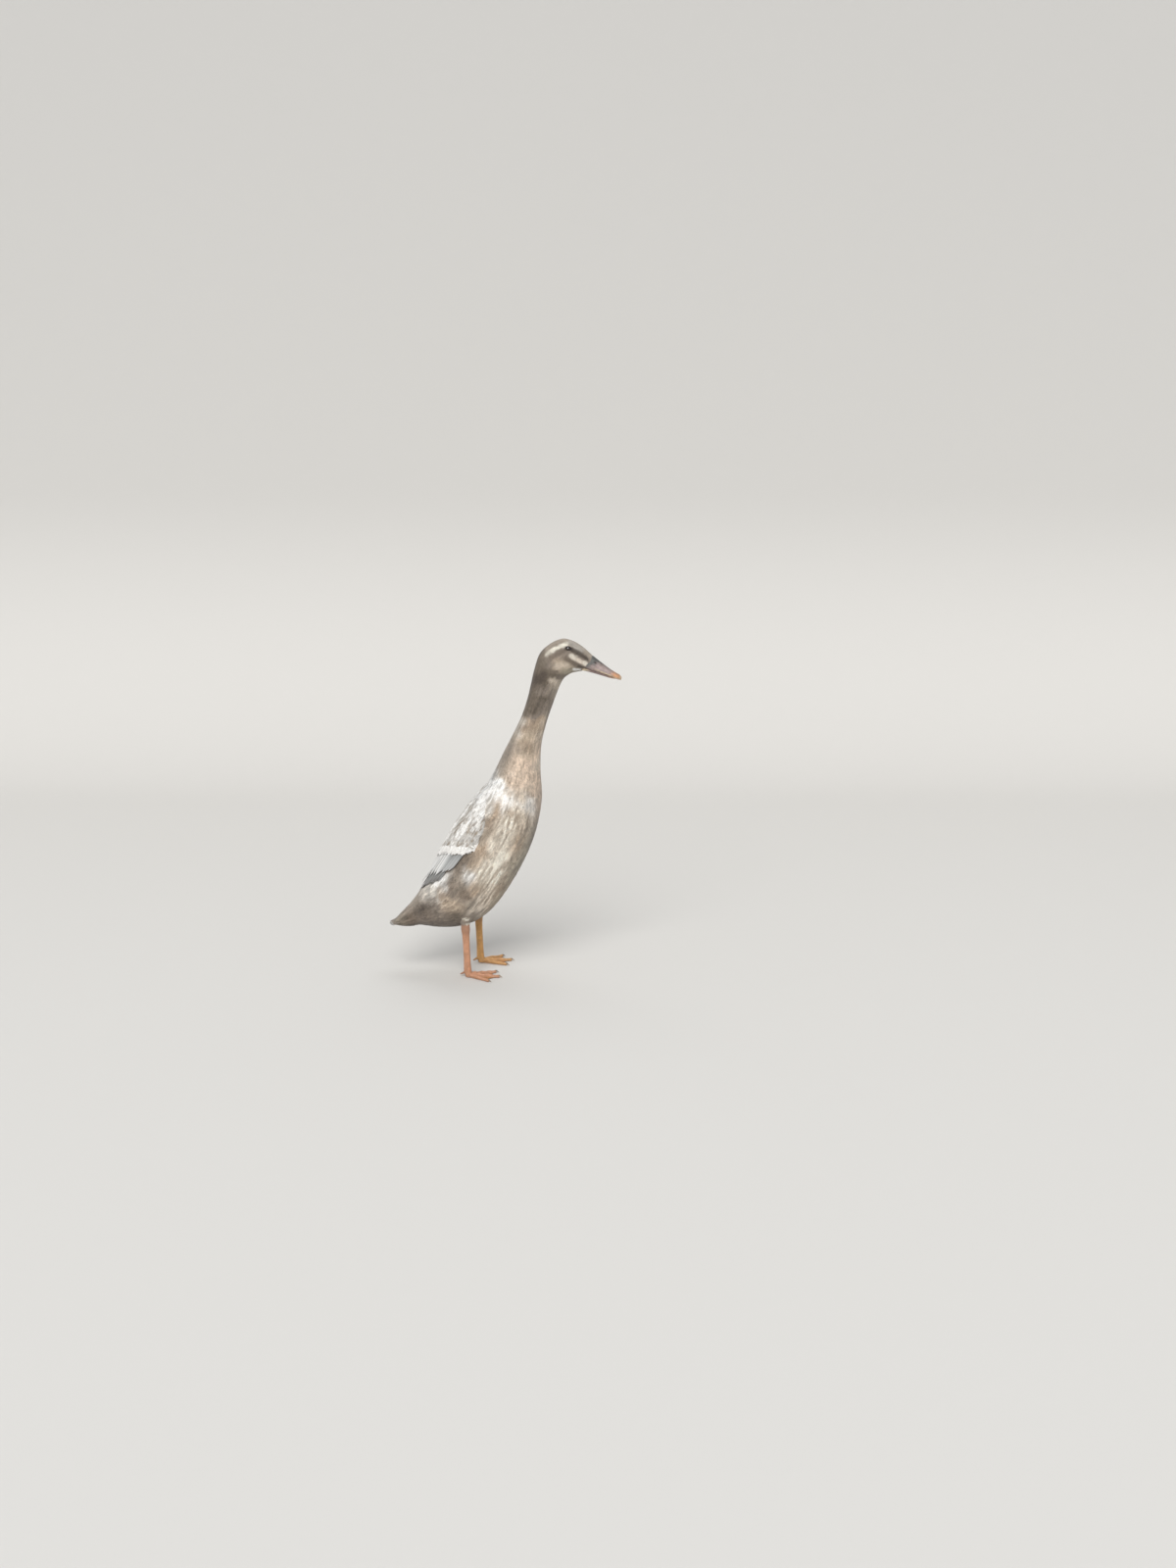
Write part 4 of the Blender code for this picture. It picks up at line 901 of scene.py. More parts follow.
def paint_vane(kind, seed, share):
    """A large feather's colours over its vane, by kind. share is 0 for the innermost of its row."""
    s, w = VANE_S, VANE_W
    draw = np.random.default_rng(seed)
    tone = draw.normal(1.0, 0.07)
    edge = ramp(0.70, 0.98, np.abs(w))
    streak = noise(stack(s * 0.9, 3.0 * w, draw.random() * 50), 0.8, 31)
    if kind == "primary":
        colour = mix(SLATE, PALE_GREY, 0.3 * streak)
        colour = mix(colour, DARK_BROWN, 0.50 * ramp(0.35, 1.0, s))
        colour = mix(colour, SILVER, 0.40 * edge)
    elif kind == "secondary":
        outer = ramp(0.35, 0.75, share)
        dark = ramp(-0.1, 0.8, w) * draw.uniform(0.55, 1.0) * (0.6 + 0.4 * outer)
        colour = mix(SILVER, SLATE, 0.95 * dark * (0.45 + 0.55 * streak))
        colour = mix(colour, WHITE, ramp(0.6, 0.1, w) * (1 - 0.9 * outer))
        colour = mix(colour, SLATE, outer * (0.30 + 0.35 * ramp(0.75, 0.45, s)))
        colour = mix(colour, WHITE, 0.6 * ramp(0.90, 0.97, s) * outer)
    elif kind == "tertial":
        colour = mix(SILVER, WHITE, 0.35 + 0.65 * ramp(0.3, -0.5, w))
        colour = mix(colour, SLATE, 0.65 * ramp(0.25, 0.9, w) * streak)
        colour = mix(colour, SLATE, 0.20 * ramp(0.85, 1.0, s))
    else:
        colour = mix(PALE_GREY, SILVER, streak)
        colour = mix(colour, WHITE, ramp(0.55, 0.72, s + 0.12 * (streak - 0.5)))
        colour = mix(colour, WHITE, 0.5 * edge)
    colour = colour * (1 - 0.20 * hump(w, 0.10))[..., None]
    return colour * (tone * (0.90 + 0.20 * streak))[..., None]


class Vanes:
    """Gathers large feathers, each a thin closed plate, into one mesh."""

    def __init__(self):
        self.points, self.quads, self.colours, self.uvs, self.marks, self.count = [], [], [], [], [], 0

    def add(self, top, under, colours, uv_centre):
        s, w = VANE_S, VANE_W
        self.points += [top.reshape(-1, 3), under.reshape(-1, 3)]
        self.quads.append(plate_quads(VANE_ROWS, VANE_COLUMNS) + self.count)
        self.colours += [colours.reshape(-1, 3), colours.reshape(-1, 3) * UNDER_SHADE]
        self.uvs += [uv_centre + PATCH_REACH * stack(w, 2 * s - 1).reshape(-1, 2)] * 2
        self.marks += [stack(w, s, (self.count * 0.618) % 1.0).reshape(-1, 3)] * 2
        self.count += 2 * s.size

    def made(self, name):
        return make_mesh(
            name, *(np.vstack(part) for part in (self.points, self.quads, self.colours, self.uvs, self.marks))
        )


def ragged_edge(draw):
    """Small notches where the barbs part at a large feather's tip."""
    comb = np.where(np.arange(VANE_COLUMNS) % 2 == 1, 0.0, -1.0)[None, :]
    return NOTCH * (comb + draw.normal(0, 0.5, (1, VANE_COLUMNS))) * VANE_S**8


def wing_vane(vanes, side, tier, share, seed):
    """One wing feather, laid over the body by place, degrees and lift."""
    s, w = VANE_S, VANE_W
    draw = np.random.default_rng(seed)
    outline = vane_outline(s, tier.pointed)
    root, tip = tier.root_degrees, tier.tip_degrees
    halves = [tier.overlap * abs(a[1] - a[0]) / (tier.count - 1) / 2 for a in (root, tip)]
    bend = draw.normal(0, 1.0)
    stretch = s + ragged_edge(draw) - 0.06 * w**2 * ramp(0.7, 1.0, s)
    place = between((between(tier.root_places, share), between(tier.tip_places, share)), stretch)
    place = place + draw.normal(0, 0.025)
    degrees = between((between(root, share), between(tip, share)), s)
    degrees = degrees + between(halves, s) * outline * w + bend * s**2
    lift = between([lift * MM for lift in tier.lifts], s**0.8)
    lift = lift + tier.lean * MM * w * outline + 0.20 * MM * hump(w, 0.13) - 0.25 * MM * w**2
    lift = lift + 0.06 * MM * np.sin(9 * w + draw.random() * 6) * s
    angles = side * np.radians(degrees)
    here, outward, _, _ = body.frames(place, angles)
    thin = VANE_THICKNESS * (0.35 + 0.65 * hump(w, 0.3)) * (1 - 0.5 * s)
    top = here + outward * np.maximum(lift, 0.4 * MM)[..., None]
    under = here + outward * np.maximum(lift - thin, 0.2 * MM)[..., None]
    vanes.add(top, under, paint_vane(tier.name, seed, share), bake_place(place.mean(), angles.mean()))


def covert_colour(points, places, angles):
    """White and silver wing coverts with broken grey-brown flecks that run with the feathers."""
    lie = along_the_lie(places, angles)
    fleck = noise(lie * np.array([1.6, 1, 1]), 0.0021, 41)
    broad = noise(lie, 0.007, 42)
    low = ramp(8.9, 8.2, places)
    colour = mix(WHITE, SILVER, ramp(0.2, 0.8, broad))
    dark = ramp(0.42, 0.72, fleck) * (0.35 + 0.65 * ramp(0.25, 0.65, broad)) * low
    colour = mix(colour, mix(BROWN, GREY_BUFF, noise(points, 0.006, 44)), dark)
    ridge = ramp(8.6, 8.9, places) * ramp(24, 12, degrees_from_back(angles))
    colour = mix(colour, GREY_BUFF, 0.7 * ridge * ramp(0.35, 0.6, fleck))
    colour = mix(colour, GREY_BUFF, 0.45 * ramp(0.35, 0.65, broad) * low)
    return colour * (0.92 + 0.16 * noise(points, 0.002, 43))[..., None]


def bar_colour(points, *_):
    return np.array(WHITE) * (0.90 + 0.20 * noise(points, 0.003, 45))[..., None]


def over_wing(places, angles):
    return wing_height(places, angles) - 0.35 * relief(places, angles)


def over_tertials(places, angles):
    return over_wing(places, angles) + 0.7 * MM * ramp(30, 18, degrees_from_back(angles))


def make_wing_pad(name, side, look):
    """The wing's body under its coverts, with its rim sunk into the body's feathers."""
    rows, columns = 70, 48
    place, u = grid(np.linspace(*PAD_PLACES, rows), np.linspace(-0.05, 1.02, columns))
    inner, outer, _ = wing_limits(place)
    angles = side * np.radians(inner + (outer - inner) * u)
    here, outward, _, _ = body.frames(place, angles)
    sunk = 1.5 * MM + 2.5 * MM * ramp(0.93, 1.0, u) + 2.5 * MM * ramp(6.3, 5.9, place)
    points = here + outward * (wing_height(place, angles) - sunk + relief(place, angles) * 0.3)[..., None]
    colours = mix(GREY_BROWN, covert_colour(here, place, angles) * UNDER_SHADE, ramp(6.8, 7.2, place))
    quads = grid_quads(rows, columns)
    pad = make_mesh(f"wing_pad_{name}", points, quads, colours, bake_place(place, angles), stack(0, u, u))
    hand_in(pad, "wing_plumage", look)


def make_wing(name, side, look, covert_look):
    vanes = Vanes()
    for t, tier in enumerate(WING_TIERS):
        for k in range(tier.count):
            wing_vane(vanes, side, tier, k / (tier.count - 1), 1000 * t + 10 * k + (side > 0))
    hand_in(vanes.made(f"wing_feathers_{name}"), "wing_plumage", look, f"wing_{name}")
    make_wing_pad(name, side, covert_look)
    places, angles = scatter(body, *COVERT_PLACES, *COVERT_STEPS)
    _, outer, _ = wing_limits(places)
    degrees = degrees_from_back(angles)
    wavy = 5.0 * (noise(body.points(places, angles), 0.006, 46) - 0.5)
    keep = (np.sin(angles) * side > 0) & (degrees < outer - 0.5 + wavy) & (places > 6.42 + 0.0160 * degrees)
    places, angles = places[keep], angles[keep]
    scale = 1.0 - 0.30 * ramp(8.0, 9.2, places)
    coverts = tufts(
        f"wing_coverts_{name}", body, -1, COVERT_PLUMAGE, places, angles, covert_colour, over_wing, scale
    )
    hand_in(coverts, "wing_plumage", covert_look)
    count = len(BAR_DEGREES) * len(BAR_ROWS)
    degrees = np.tile(BAR_DEGREES, len(BAR_ROWS)) + rng.normal(0, 0.5, count)
    places = BAR_PLACE + BAR_SLANT * (degrees - BAR_START) + 0.14 * ramp(60, 70, degrees)
    places = places + np.repeat(BAR_ROWS, len(BAR_DEGREES)) + rng.normal(0, 0.025, count)
    angles = side * np.radians(degrees)
    bar = tufts(f"wing_bar_{name}", body, -1, BAR_PLUMAGE, places, angles, bar_colour, over_tertials)
    hand_in(bar, "wing_plumage", covert_look)


# The tail's fan: its pairs of feathers, how they fan out, where they start, and how they slope.
TAIL_PAIRS = 5
TAIL_FAN = math.radians(17.0)
TAIL_ROOT = (-0.1560, 0.0945)
TAIL_LENGTH = 0.0335
TAIL_SLOPE = math.radians(21.0)
TAIL_SPREAD, TAIL_DROP = 10.0 * MM, 2.8 * MM
TAIL_HALF_WIDTH = 5.0 * MM        # of one feather


def make_tail(look):
    vanes = Vanes()
    s, w = VANE_S, VANE_W
    forward, high = math.cos(TAIL_SLOPE), math.sin(TAIL_SLOPE)
    up = np.array([-high, 0, forward])
    for k in range(-TAIL_PAIRS, TAIL_PAIRS + 1):
        share = k / TAIL_PAIRS
        draw = np.random.default_rng(500 + k)
        fan = TAIL_FAN * share
        way = np.array([-forward * math.cos(fan), math.sin(fan), -high * math.cos(fan)])
        start = np.array([TAIL_ROOT[0], TAIL_SPREAD * share, TAIL_ROOT[1]]) - up * TAIL_DROP * abs(share)
        length = TAIL_LENGTH * (1 - 0.18 * share**2)
        across = TAIL_HALF_WIDTH * vane_outline(s, 0.40) * w
        lift = 0.20 * MM * hump(w, 0.13) + 0.45 * MM * np.sign(k) * w - 0.3 * MM * w**2
        stretch = s - 0.05 * w**2 * s + ragged_edge(draw)
        top = start + way * (length * stretch)[..., None] + np.cross(way, up) * across[..., None]
        top = top + up * lift[..., None]
        under = top - up * (0.40 * MM * (1 - 0.5 * s))[..., None]
        colours = mix(BROWN, GREY_BUFF, 0.15 + 0.50 * ramp(0.60, 1.0, np.abs(w)))
        colours = colours * (1 - 0.25 * hump(w, 0.12))[..., None] * draw.normal(1.0, 0.08)
        vanes.add(top, under, colours, bake_place(0.4, math.radians(60 * share)))
    hand_in(vanes.made("tail_feathers"), "tail_plumage", look, "tail")


def closed_loft(name, form, rows, columns, shape, colour, back=0.0, round_end=0.0):
    """A closed tube along a form, its ends filled, its points moved by shape(places, angles, points)."""
    places, angles = grid(np.linspace(0.0, form.last, rows), circle(columns))
    points, outward, along, _ = form.frames(places, angles)
    if shape is not None:
        points = points + outward * shape(places, angles, points)[..., None]
    colours = colour(places, angles, points)
    if back:
        centre = points[0].mean(axis=0)
        way = along[0].mean(axis=0)
        sunk = centre + (points[0] - centre) * 0.98 - way / np.linalg.norm(way) * back
        points = np.concatenate([sunk[None], points])
        colours = np.concatenate([colours[:1], colours])
    if round_end:
        centre = points[-1].mean(axis=0)
        way = along[-1].mean(axis=0)
        way = way / np.linalg.norm(way)
        turns = np.radians((12, 24, 36, 48, 60, 72, 82))[:, None, None]
        caps = centre + (points[-1] - centre) * np.cos(turns) + way * round_end * np.sin(turns)
        points = np.concatenate([points, caps])
        colours = np.concatenate([colours, np.repeat(colours[-1:], len(caps), axis=0)])
    made = make_mesh(name, points, grid_quads(len(points), columns, True), colours)
    fill_ends(made.data)
    shade_smooth(made.data)
    return made


# The bill's colours, from its base to its tip and its edge, with painted shade for nostrils, mouth and the
# lower bill.
BILL_GREY = (0.150, 0.150, 0.140)
BILL_MAUVE = (0.340, 0.265, 0.250)
# A mauve darkened as painted shade, for the lower bill under the upper one's edge.
SHADED_BILL_MAUVE = (0.250, 0.180, 0.165)
BILL_ORANGE = (0.600, 0.300, 0.150)
BILL_CREAM = (0.580, 0.470, 0.330)
MOUTH_SHADE = (0.050, 0.030, 0.026)
BILL_BACK = 3 * MM                # how far the bill runs back under the feathers


def nostril_distance(points):
    ahead = points[..., 0] - NOSTRIL_CENTRE[0]
    return np.hypot(ahead / 1.9, points[..., 2] + 0.55 * ahead - NOSTRIL_CENTRE[1])


def upper_bill_shape(places, angles, points):
    degrees = degrees_from_back(angles)
    nostril = nostril_distance(points)
    side = degrees < 100
    pit = hump(nostril, 0.85 * MM) * 1.4 * MM * side
    lip = hump(nostril - 1.7 * MM, 0.6 * MM) * 0.28 * MM * side
    nail = ramp(4.7, 5.1, places) * ramp(44, 34, degrees) * 0.40 * MM
    edge = hump(degrees - 116, 9.0) * 0.30 * MM
    groove = -0.30 * MM * hump(degrees - 100, 8.0) * ramp(0.3, 1.5, places)
    saddle = -0.45 * MM * hump(degrees - 48, 22.0) * ramp(0.8, 2.2, places) * ramp(5.0, 3.8, places)
    flare = 2.0 * MM * hump(degrees - 42, 32.0) * ramp(1.25, -0.1, places)
    return lip + nail + edge + groove + saddle + flare - pit


def upper_bill_colour(places, angles, points):
    degrees = degrees_from_back(angles)
    blotch = noise(points, 0.004, 8) - 0.5
    streak = noise(points * np.array([0.3, 1, 1]), 0.0012, 15) - 0.5
    colour = mix(BILL_GREY, BILL_MAUVE, ramp(0.5, 2.0, places + 0.7 * blotch + 0.016 * (degrees - 60)))
    colour = mix(colour, BILL_ORANGE, 0.95 * ramp(3.0, 4.3, places + 0.5 * blotch))
    cream = ramp(96, 112, degrees) * ramp(0.6, 3.0, places) * ramp(136, 128, degrees)
    colour = mix(colour, BILL_CREAM, 0.85 * cream)
    colour = mix(colour, BILL_CREAM, 0.80 * ramp(5.2, 5.7, places))
    colour = mix(colour, colour * 0.62, ramp(62, 30, degrees) * ramp(6.2, 5.0, places))
    # Painted shade in the nostril's pit and on the upper bill's underside inside the mouth.
    colour = mix(colour, MOUTH_SHADE, ramp(1.35 * MM, 0.75 * MM, nostril_distance(points)))
    colour = mix(colour, MOUTH_SHADE, 0.6 * ramp(140, 152, degrees))
    return colour * (1 + 0.40 * (noise(points, 0.0016, 9) - 0.5) + 0.45 * streak)[..., None]


def lower_bill_colour(places, angles, points):
    # The lower bill is mauve darkened as painted shade under the upper bill's edge.
    colour = mix(BILL_CREAM, SHADED_BILL_MAUVE, ramp(0.2, 1.2, places))
    colour = mix(colour, BILL_ORANGE, 0.6 * ramp(3.0, 4.5, places))
    # Painted shade on the lower bill's top, inside the mouth.
    colour = mix(colour, MOUTH_SHADE, 0.6 * ramp(60, 45, degrees_from_back(angles)))
    return colour * (1 + 0.4 * (noise(points, 0.002, 10) - 0.5))[..., None]


def make_bill(look):
    upper_form, lower_form = Form(UPPER_BILL), Form(LOWER_BILL)
    upper = closed_loft(
        "bill_upper_skin", upper_form, 130, 108, upper_bill_shape, upper_bill_colour, BILL_BACK, 1.5 * MM
    )
    hand_in(upper, "bill_horn", look, "bill_upper")
    lower = closed_loft("bill_lower_skin", lower_form, 70, 72, None, lower_bill_colour, BILL_BACK, 0.8 * MM)
    hand_in(lower, "bill_horn", look, "bill_lower")


# The eye's colours, and its lids: half the opening's length and height, and how far they reach out.
IRIS_BROWN, IRIS_RIM, PUPIL = (0.034, 0.017, 0.009), (0.010, 0.006, 0.004), (0.002, 0.002, 0.002)
LID_DARK, LID_PALE = (0.030, 0.024, 0.020), (0.095, 0.076, 0.062)
LID_OPENING = (3.75 * MM, 2.85 * MM)
LID_OUTER = 1.42


def make_eyeball(name, centre, outward, up, side_way, look):
    down, turns = grid(np.linspace(0, math.pi, 41), circle(64))
    swell = 1 + 0.03 * hump(down, 0.5)
    flat = np.sin(down) * swell
    points = centre + EYE_RADIUS * (
        outward * (np.cos(down) * swell)[..., None]
        + up * (flat * np.sin(turns))[..., None]
        + side_way * (flat * np.cos(turns))[..., None]
    )
    iris = mix(IRIS_BROWN, IRIS_RIM, ramp(0.52, 0.70, down))
    iris = iris * (0.8 + 0.4 * noise(stack(turns, 0, 0), 0.12, 51))[..., None]
    colours = mix(iris, PUPIL, ramp(0.40, 0.35, down))
    ball = make_mesh(f"eyeball_{name}", points, grid_quads(41, 64, True), colours)
    hand_in(ball, "eye_gloss", look, f"eye_{name}")


def make_lids(name, centre, outward, up, side_way, look):
    rows, columns = 18, 96
    ahead = 1.0 if side_way[0] > 0 else -1.0
    depth, turns = grid(np.linspace(0, 1, rows), circle(columns))
    grow = 1 + (LID_OUTER - 1) * depth
    x = np.cos(turns) * (LID_OPENING[0] * (1 + 0.30 * ramp(0.80, 1.0, np.cos(turns) * ahead))) * grow
    z = np.sin(turns) * (LID_OPENING[1] * np.where(np.sin(turns) > 0, 0.94, 1.0)) * grow
    ball_height = np.sqrt(np.clip((EYE_RADIUS * 1.02) ** 2 - x**2 - z**2, 0, None))
    height = np.maximum(ball_height, EYE_SUNK - 0.35 * MM)
    height = height + (0.42 * MM * hump(depth - 0.20, 0.16) + 0.16 * MM * hump(depth - 0.55, 0.12))
    height = height + 0.06 * MM - 0.9 * MM * ramp(0.75, 1.0, depth) - 0.35 * MM * ramp(0.08, 0.0, depth)
    points = centre + outward * height[..., None] + up * z[..., None] + side_way * x[..., None]
    tone = mix(LID_DARK, LID_PALE, ramp(0.30, 0.80, depth))
    tone = tone * (0.8 + 0.4 * noise(points, 0.0006, 52))[..., None]
    hand_in(make_mesh(f"eyelids_{name}", points, grid_quads(rows, columns, True), tone), "head_plumage", look)


def make_eye(name, eye_look, lid_look):
    surface, outward, back = EYES[name]
    centre = surface - outward * EYE_SUNK
    up = np.cross(outward, back)
    up = up if up[2] > 0 else -up
    side_way = np.cross(up, outward)
    make_eyeball(name, centre, outward, up, side_way, eye_look)
    make_lids(name, centre, outward, up, side_way, lid_look)


# The shank from above the hock down into the foot: height, and half its depth and half its width
# in millimetres.
SHANK_SECTIONS = (
    (0.1000, 7.6, 6.6),
    (HOCK_Z, 7.0, 5.8),
    (0.0810, 7.3, 6.2),
    (0.0760, 6.7, 5.5),
    (0.0700, 5.9, 4.7),
    (0.0500, 5.5, 4.3),
    (0.0300, 5.5, 4.4),
    (0.0180, 5.9, 5.0),
    (ANKLE_Z, 6.2, 5.7),
    (0.0060, 6.8, 6.4),
    (0.0010, 6.6, 6.2),
)


class Toe(NamedTuple):
    """A toe's length, how far it turns from the middle one in degrees, and its number of joints."""

    length: float
    spread: float
    joints: int


# The foot, and the colours of its skin. Lengths are in metres, the feet's turns in degrees.
TOES = {"inner": Toe(0.0430, 27.0, 2), "middle": Toe(0.0520, 0.0, 3), "outer": Toe(0.0475, -25.0, 4)}
TOE_RADII = (4.0 * MM, 2.3 * MM)
CLAW_LENGTH, CLAW_RADIUS = 6.5 * MM, 1.45 * MM
HIND_TOE_LENGTH, HIND_TOE_RADIUS = 9.0 * MM, 2.1 * MM
FOOT_TURN = {"right": -6.0, "left": 6.0}
# The left, far leg is golden orange and is also painted lighter: painted light for the shade that the body
# casts on it.
LEG_ORANGE_AND_LIGHT = {"right": (0.58, 0.295, 0.175), "left": (0.64, 0.350, 0.125)}
LEG_BROWN = (0.30, 0.17, 0.115)
WEB_ORANGE = (0.44, 0.21, 0.085)
CLAW_DARK, CLAW_PALE = (0.16, 0.10, 0.07), (0.42, 0.30, 0.19)
LEG_VOXEL = 0.52 * MM
FOOT_TOP = 0.0085                 # above it the scales follow the shank, below it the toes
SCALE_RUN = 0.0023                # the height of one wide scale


def toe_direction(degrees):
    return np.array([math.cos(math.radians(degrees)), math.sin(math.radians(degrees)), 0.0])


def tube(rings):
    """Points and quads of a closed tube through rings of equal count."""
    rings = np.asarray(rings)
    rows, columns = rings.shape[:2]
    ends = [np.repeat(ring.mean(axis=0)[None], columns, axis=0)[None] for ring in (rings[0], rings[-1])]
    points = np.concatenate([ends[0], rings, ends[1]])
    return points.reshape(-1, 3), grid_quads(rows + 2, columns, True)


def toe_rings(way, stretch, radii, heights):
    side_way = np.array([-way[1], way[0], 0.0])
    a = circle(20)
    rings = []
    for reach, radius, height in zip(stretch, radii, heights):
        ring = way * reach + np.array([0, 0, height]) + side_way * (radius * np.cos(a))[:, None]
        rings.append(ring + np.array([0, 0, 1.0]) * (radius * np.sin(a))[:, None])
    return rings


def toe_parts(toe, side):
    """A toe's flesh and its claw, as rings."""
    way = toe_direction(toe.spread * side)
    t = np.linspace(0, 1, 12 * toe.joints)
    radii = between(TOE_RADII, t) * (1 + 0.08 * np.cos(math.tau * t * toe.joints))
    radii = radii * (1 - 0.35 * ramp(0.96, 1.0, t))
    u = np.linspace(0, 1, 14)
    claw_radii = CLAW_RADIUS * (1 - 0.88 * u**1.3)
    claw_heights = TOE_RADII[1] * (1 - u**2) + claw_radii + 0.2 * MM
    claw_reach = toe.length - 1.5 * MM + (CLAW_LENGTH - 0.3 * MM) * u
    flesh = toe_rings(way, toe.length * t, radii, radii * 0.92)
    return flesh, toe_rings(way, claw_reach, claw_radii, claw_heights)


def hind_toe():
    t = np.linspace(0, 1, 12)
    radii = HIND_TOE_RADIUS * (1 - 0.55 * t**2)
    return toe_rings(np.array([-1.0, 0, 0]), 3.5 * MM + HIND_TOE_LENGTH * t, radii, 8.0 * MM - 4.2 * MM * t)


def web_plate(side):
    """A fine closed plate of skin between the toes, sagging a little between them."""
    rows, columns = 26, 61
    share = np.linspace(0, 1, columns)
    toes = [TOES[name] for name in ("outer", "middle", "inner")]
    spread = np.radians(np.interp(share, [0, 0.5, 1], [toe.spread * side for toe in toes]))
    length = np.interp(share, [0, 0.5, 1], [toe.length for toe in toes])
    between_toes = np.abs(np.sin(math.tau * share))
    reach = np.linspace(0.05, 0.94, rows)[:, None] * (length * (1 - 0.17 * between_toes))[None]
    x, y = reach * np.cos(spread), reach * np.sin(spread)
    sag = 0.5 * MM * between_toes
    ruck = 0.12 * MM * np.sin(reach / 0.0016 + 3 * np.sin(share * 9)[None])
    top, under = stack(x, y, 2.2 * MM - sag + ruck), stack(x, y, 0.9 * MM - 0.4 * sag)
    return np.concatenate([top.reshape(-1, 3), under.reshape(-1, 3)]), plate_quads(rows, columns)


def joined(pieces):
    points, quads, count = [], [], 0
    for p, q in pieces:
        points.append(p)
        quads.append(q + count)
        count += len(p)
    return np.vstack(points), np.vstack(quads)


def shank_lean(name, z):
    """How far ahead of the foot the shank's axis is at a height."""
    return (HOCK_X[name] - FOOT_X[name]) * (z - ANKLE_Z) / (HOCK_Z - ANKLE_Z)


def shank_rings(name):
    """The shank in the foot's own frame, from above the hock down into the foot."""
    sections = SHANK_SECTIONS[::-1]
    z = np.linspace(sections[-1][0], sections[0][0], 90)
    depth, width = (np.interp(z, [s[0] for s in sections], [s[k] * MM for s in sections]) for k in (1, 2))
    ahead = shank_lean(name, z) + 2.4 * MM * ramp(ANKLE_Z, 0.001, z)
    a = circle(40)
    return stack(ahead[:, None] + depth[:, None] * np.cos(a), width[:, None] * np.sin(a), z[:, None])


def grown_together(leg):
    """Turns a leg's crossing tubes and plate into one soft skin, standing on the ground."""
    remesh = leg.modifiers.new("one skin", "REMESH")
    remesh.mode = "VOXEL"
    remesh.voxel_size = LEG_VOXEL
    soften = leg.modifiers.new("soften", "SMOOTH")
    soften.factor, soften.iterations = 0.5, 5
    bpy.context.view_layer.update()
    mesh = bpy.data.meshes.new_from_object(leg.evaluated_get(bpy.context.evaluated_depsgraph_get()))
    leg.modifiers.clear()
    leg.data = mesh
    local = np.empty(len(mesh.vertices) * 3, np.float32)
    mesh.vertices.foreach_get("co", local)
    local = local.reshape(-1, 3).astype(float)
    local[:, 2] = np.maximum(local[:, 2], 0.0)
    mesh.vertices.foreach_set("co", local.astype(np.float32).ravel())
    return mesh, local


def leg_marks(name, side, points):
    """How far each point lies along its toe or shank, how far to its front, and how much it is web."""
    count, z = len(points), points[:, 2]
    best, run, across = np.full(count, 1.0), np.zeros(count), np.zeros(count)
    for toe in TOES.values():
        way = toe_direction(toe.spread * side)
        ahead = points @ way
        off = np.abs(points @ np.array([-way[1], way[0], 0.0]))
        nearer = (off < best) & (ahead > 0)
        best = np.where(nearer, off, best)
        run = np.where(nearer, ahead, run)
        across = np.where(nearer, off, across)
    on_shank = z > FOOT_TOP
    on_front = ramp(0.0, 3.5 * MM, points[:, 0] - shank_lean(name, z))
    front = np.where(on_shank, on_front, ramp(3.6 * MM, 2.4 * MM, across))
    web = (~on_shank) * ramp(2.6 * MM, 4.2 * MM, across) * ramp(5 * MM, 9 * MM, points[:, 0])
    return stack(np.where(on_shank, z, run), front, web)


def leg_colour(name, points, web):
    z = points[:, 2]
    brown = 0.65 * ramp(0.062, 0.086, z + 0.012 * (noise(points, 0.006, 12) - 0.5))
    colours = mix(LEG_ORANGE_AND_LIGHT[name], LEG_BROWN, brown)
    colours = mix(colours, WEB_ORANGE, web)
    colours = mix(colours, LEG_BROWN, 0.35 * ramp(0.010, 0.002, z) * (1 - web))
    return colours * (1 + 0.30 * (noise(points, 0.005, 13) - 0.5))[:, None]


def make_leg(name, side, look, claw_look):
    flesh, claws = zip(*(toe_parts(toe, side) for toe in TOES.values()))
    pieces = [tube(rings) for rings in (shank_rings(name), *flesh, hind_toe())] + [web_plate(side)]
    leg = make_mesh(f"leg_skin_{name}", *joined(pieces))
    mesh, points = grown_together(leg)
    marks = leg_marks(name, side, points)
    placed = Matrix.Translation((FOOT_X[name], side * LEG_Y, 0))
    placed = placed @ Matrix.Rotation(math.radians(FOOT_TURN[name]), 4, "Z")
    mesh.transform(placed)
    add_layers(mesh, leg_colour(name, points, marks[:, 2]), marks)
    shade_smooth(mesh)
    hand_in(leg, "leg_skin", look, f"shank_{name}", f"foot_{name}")
    points, quads = joined([tube(rings) for rings in claws])
    claw = make_mesh(f"claws_{name}", points, quads, mix(CLAW_DARK, CLAW_PALE, noise(points, 0.003, 14)))
    claw.data.transform(placed)
    hand_in(claw, "leg_skin", claw_look)


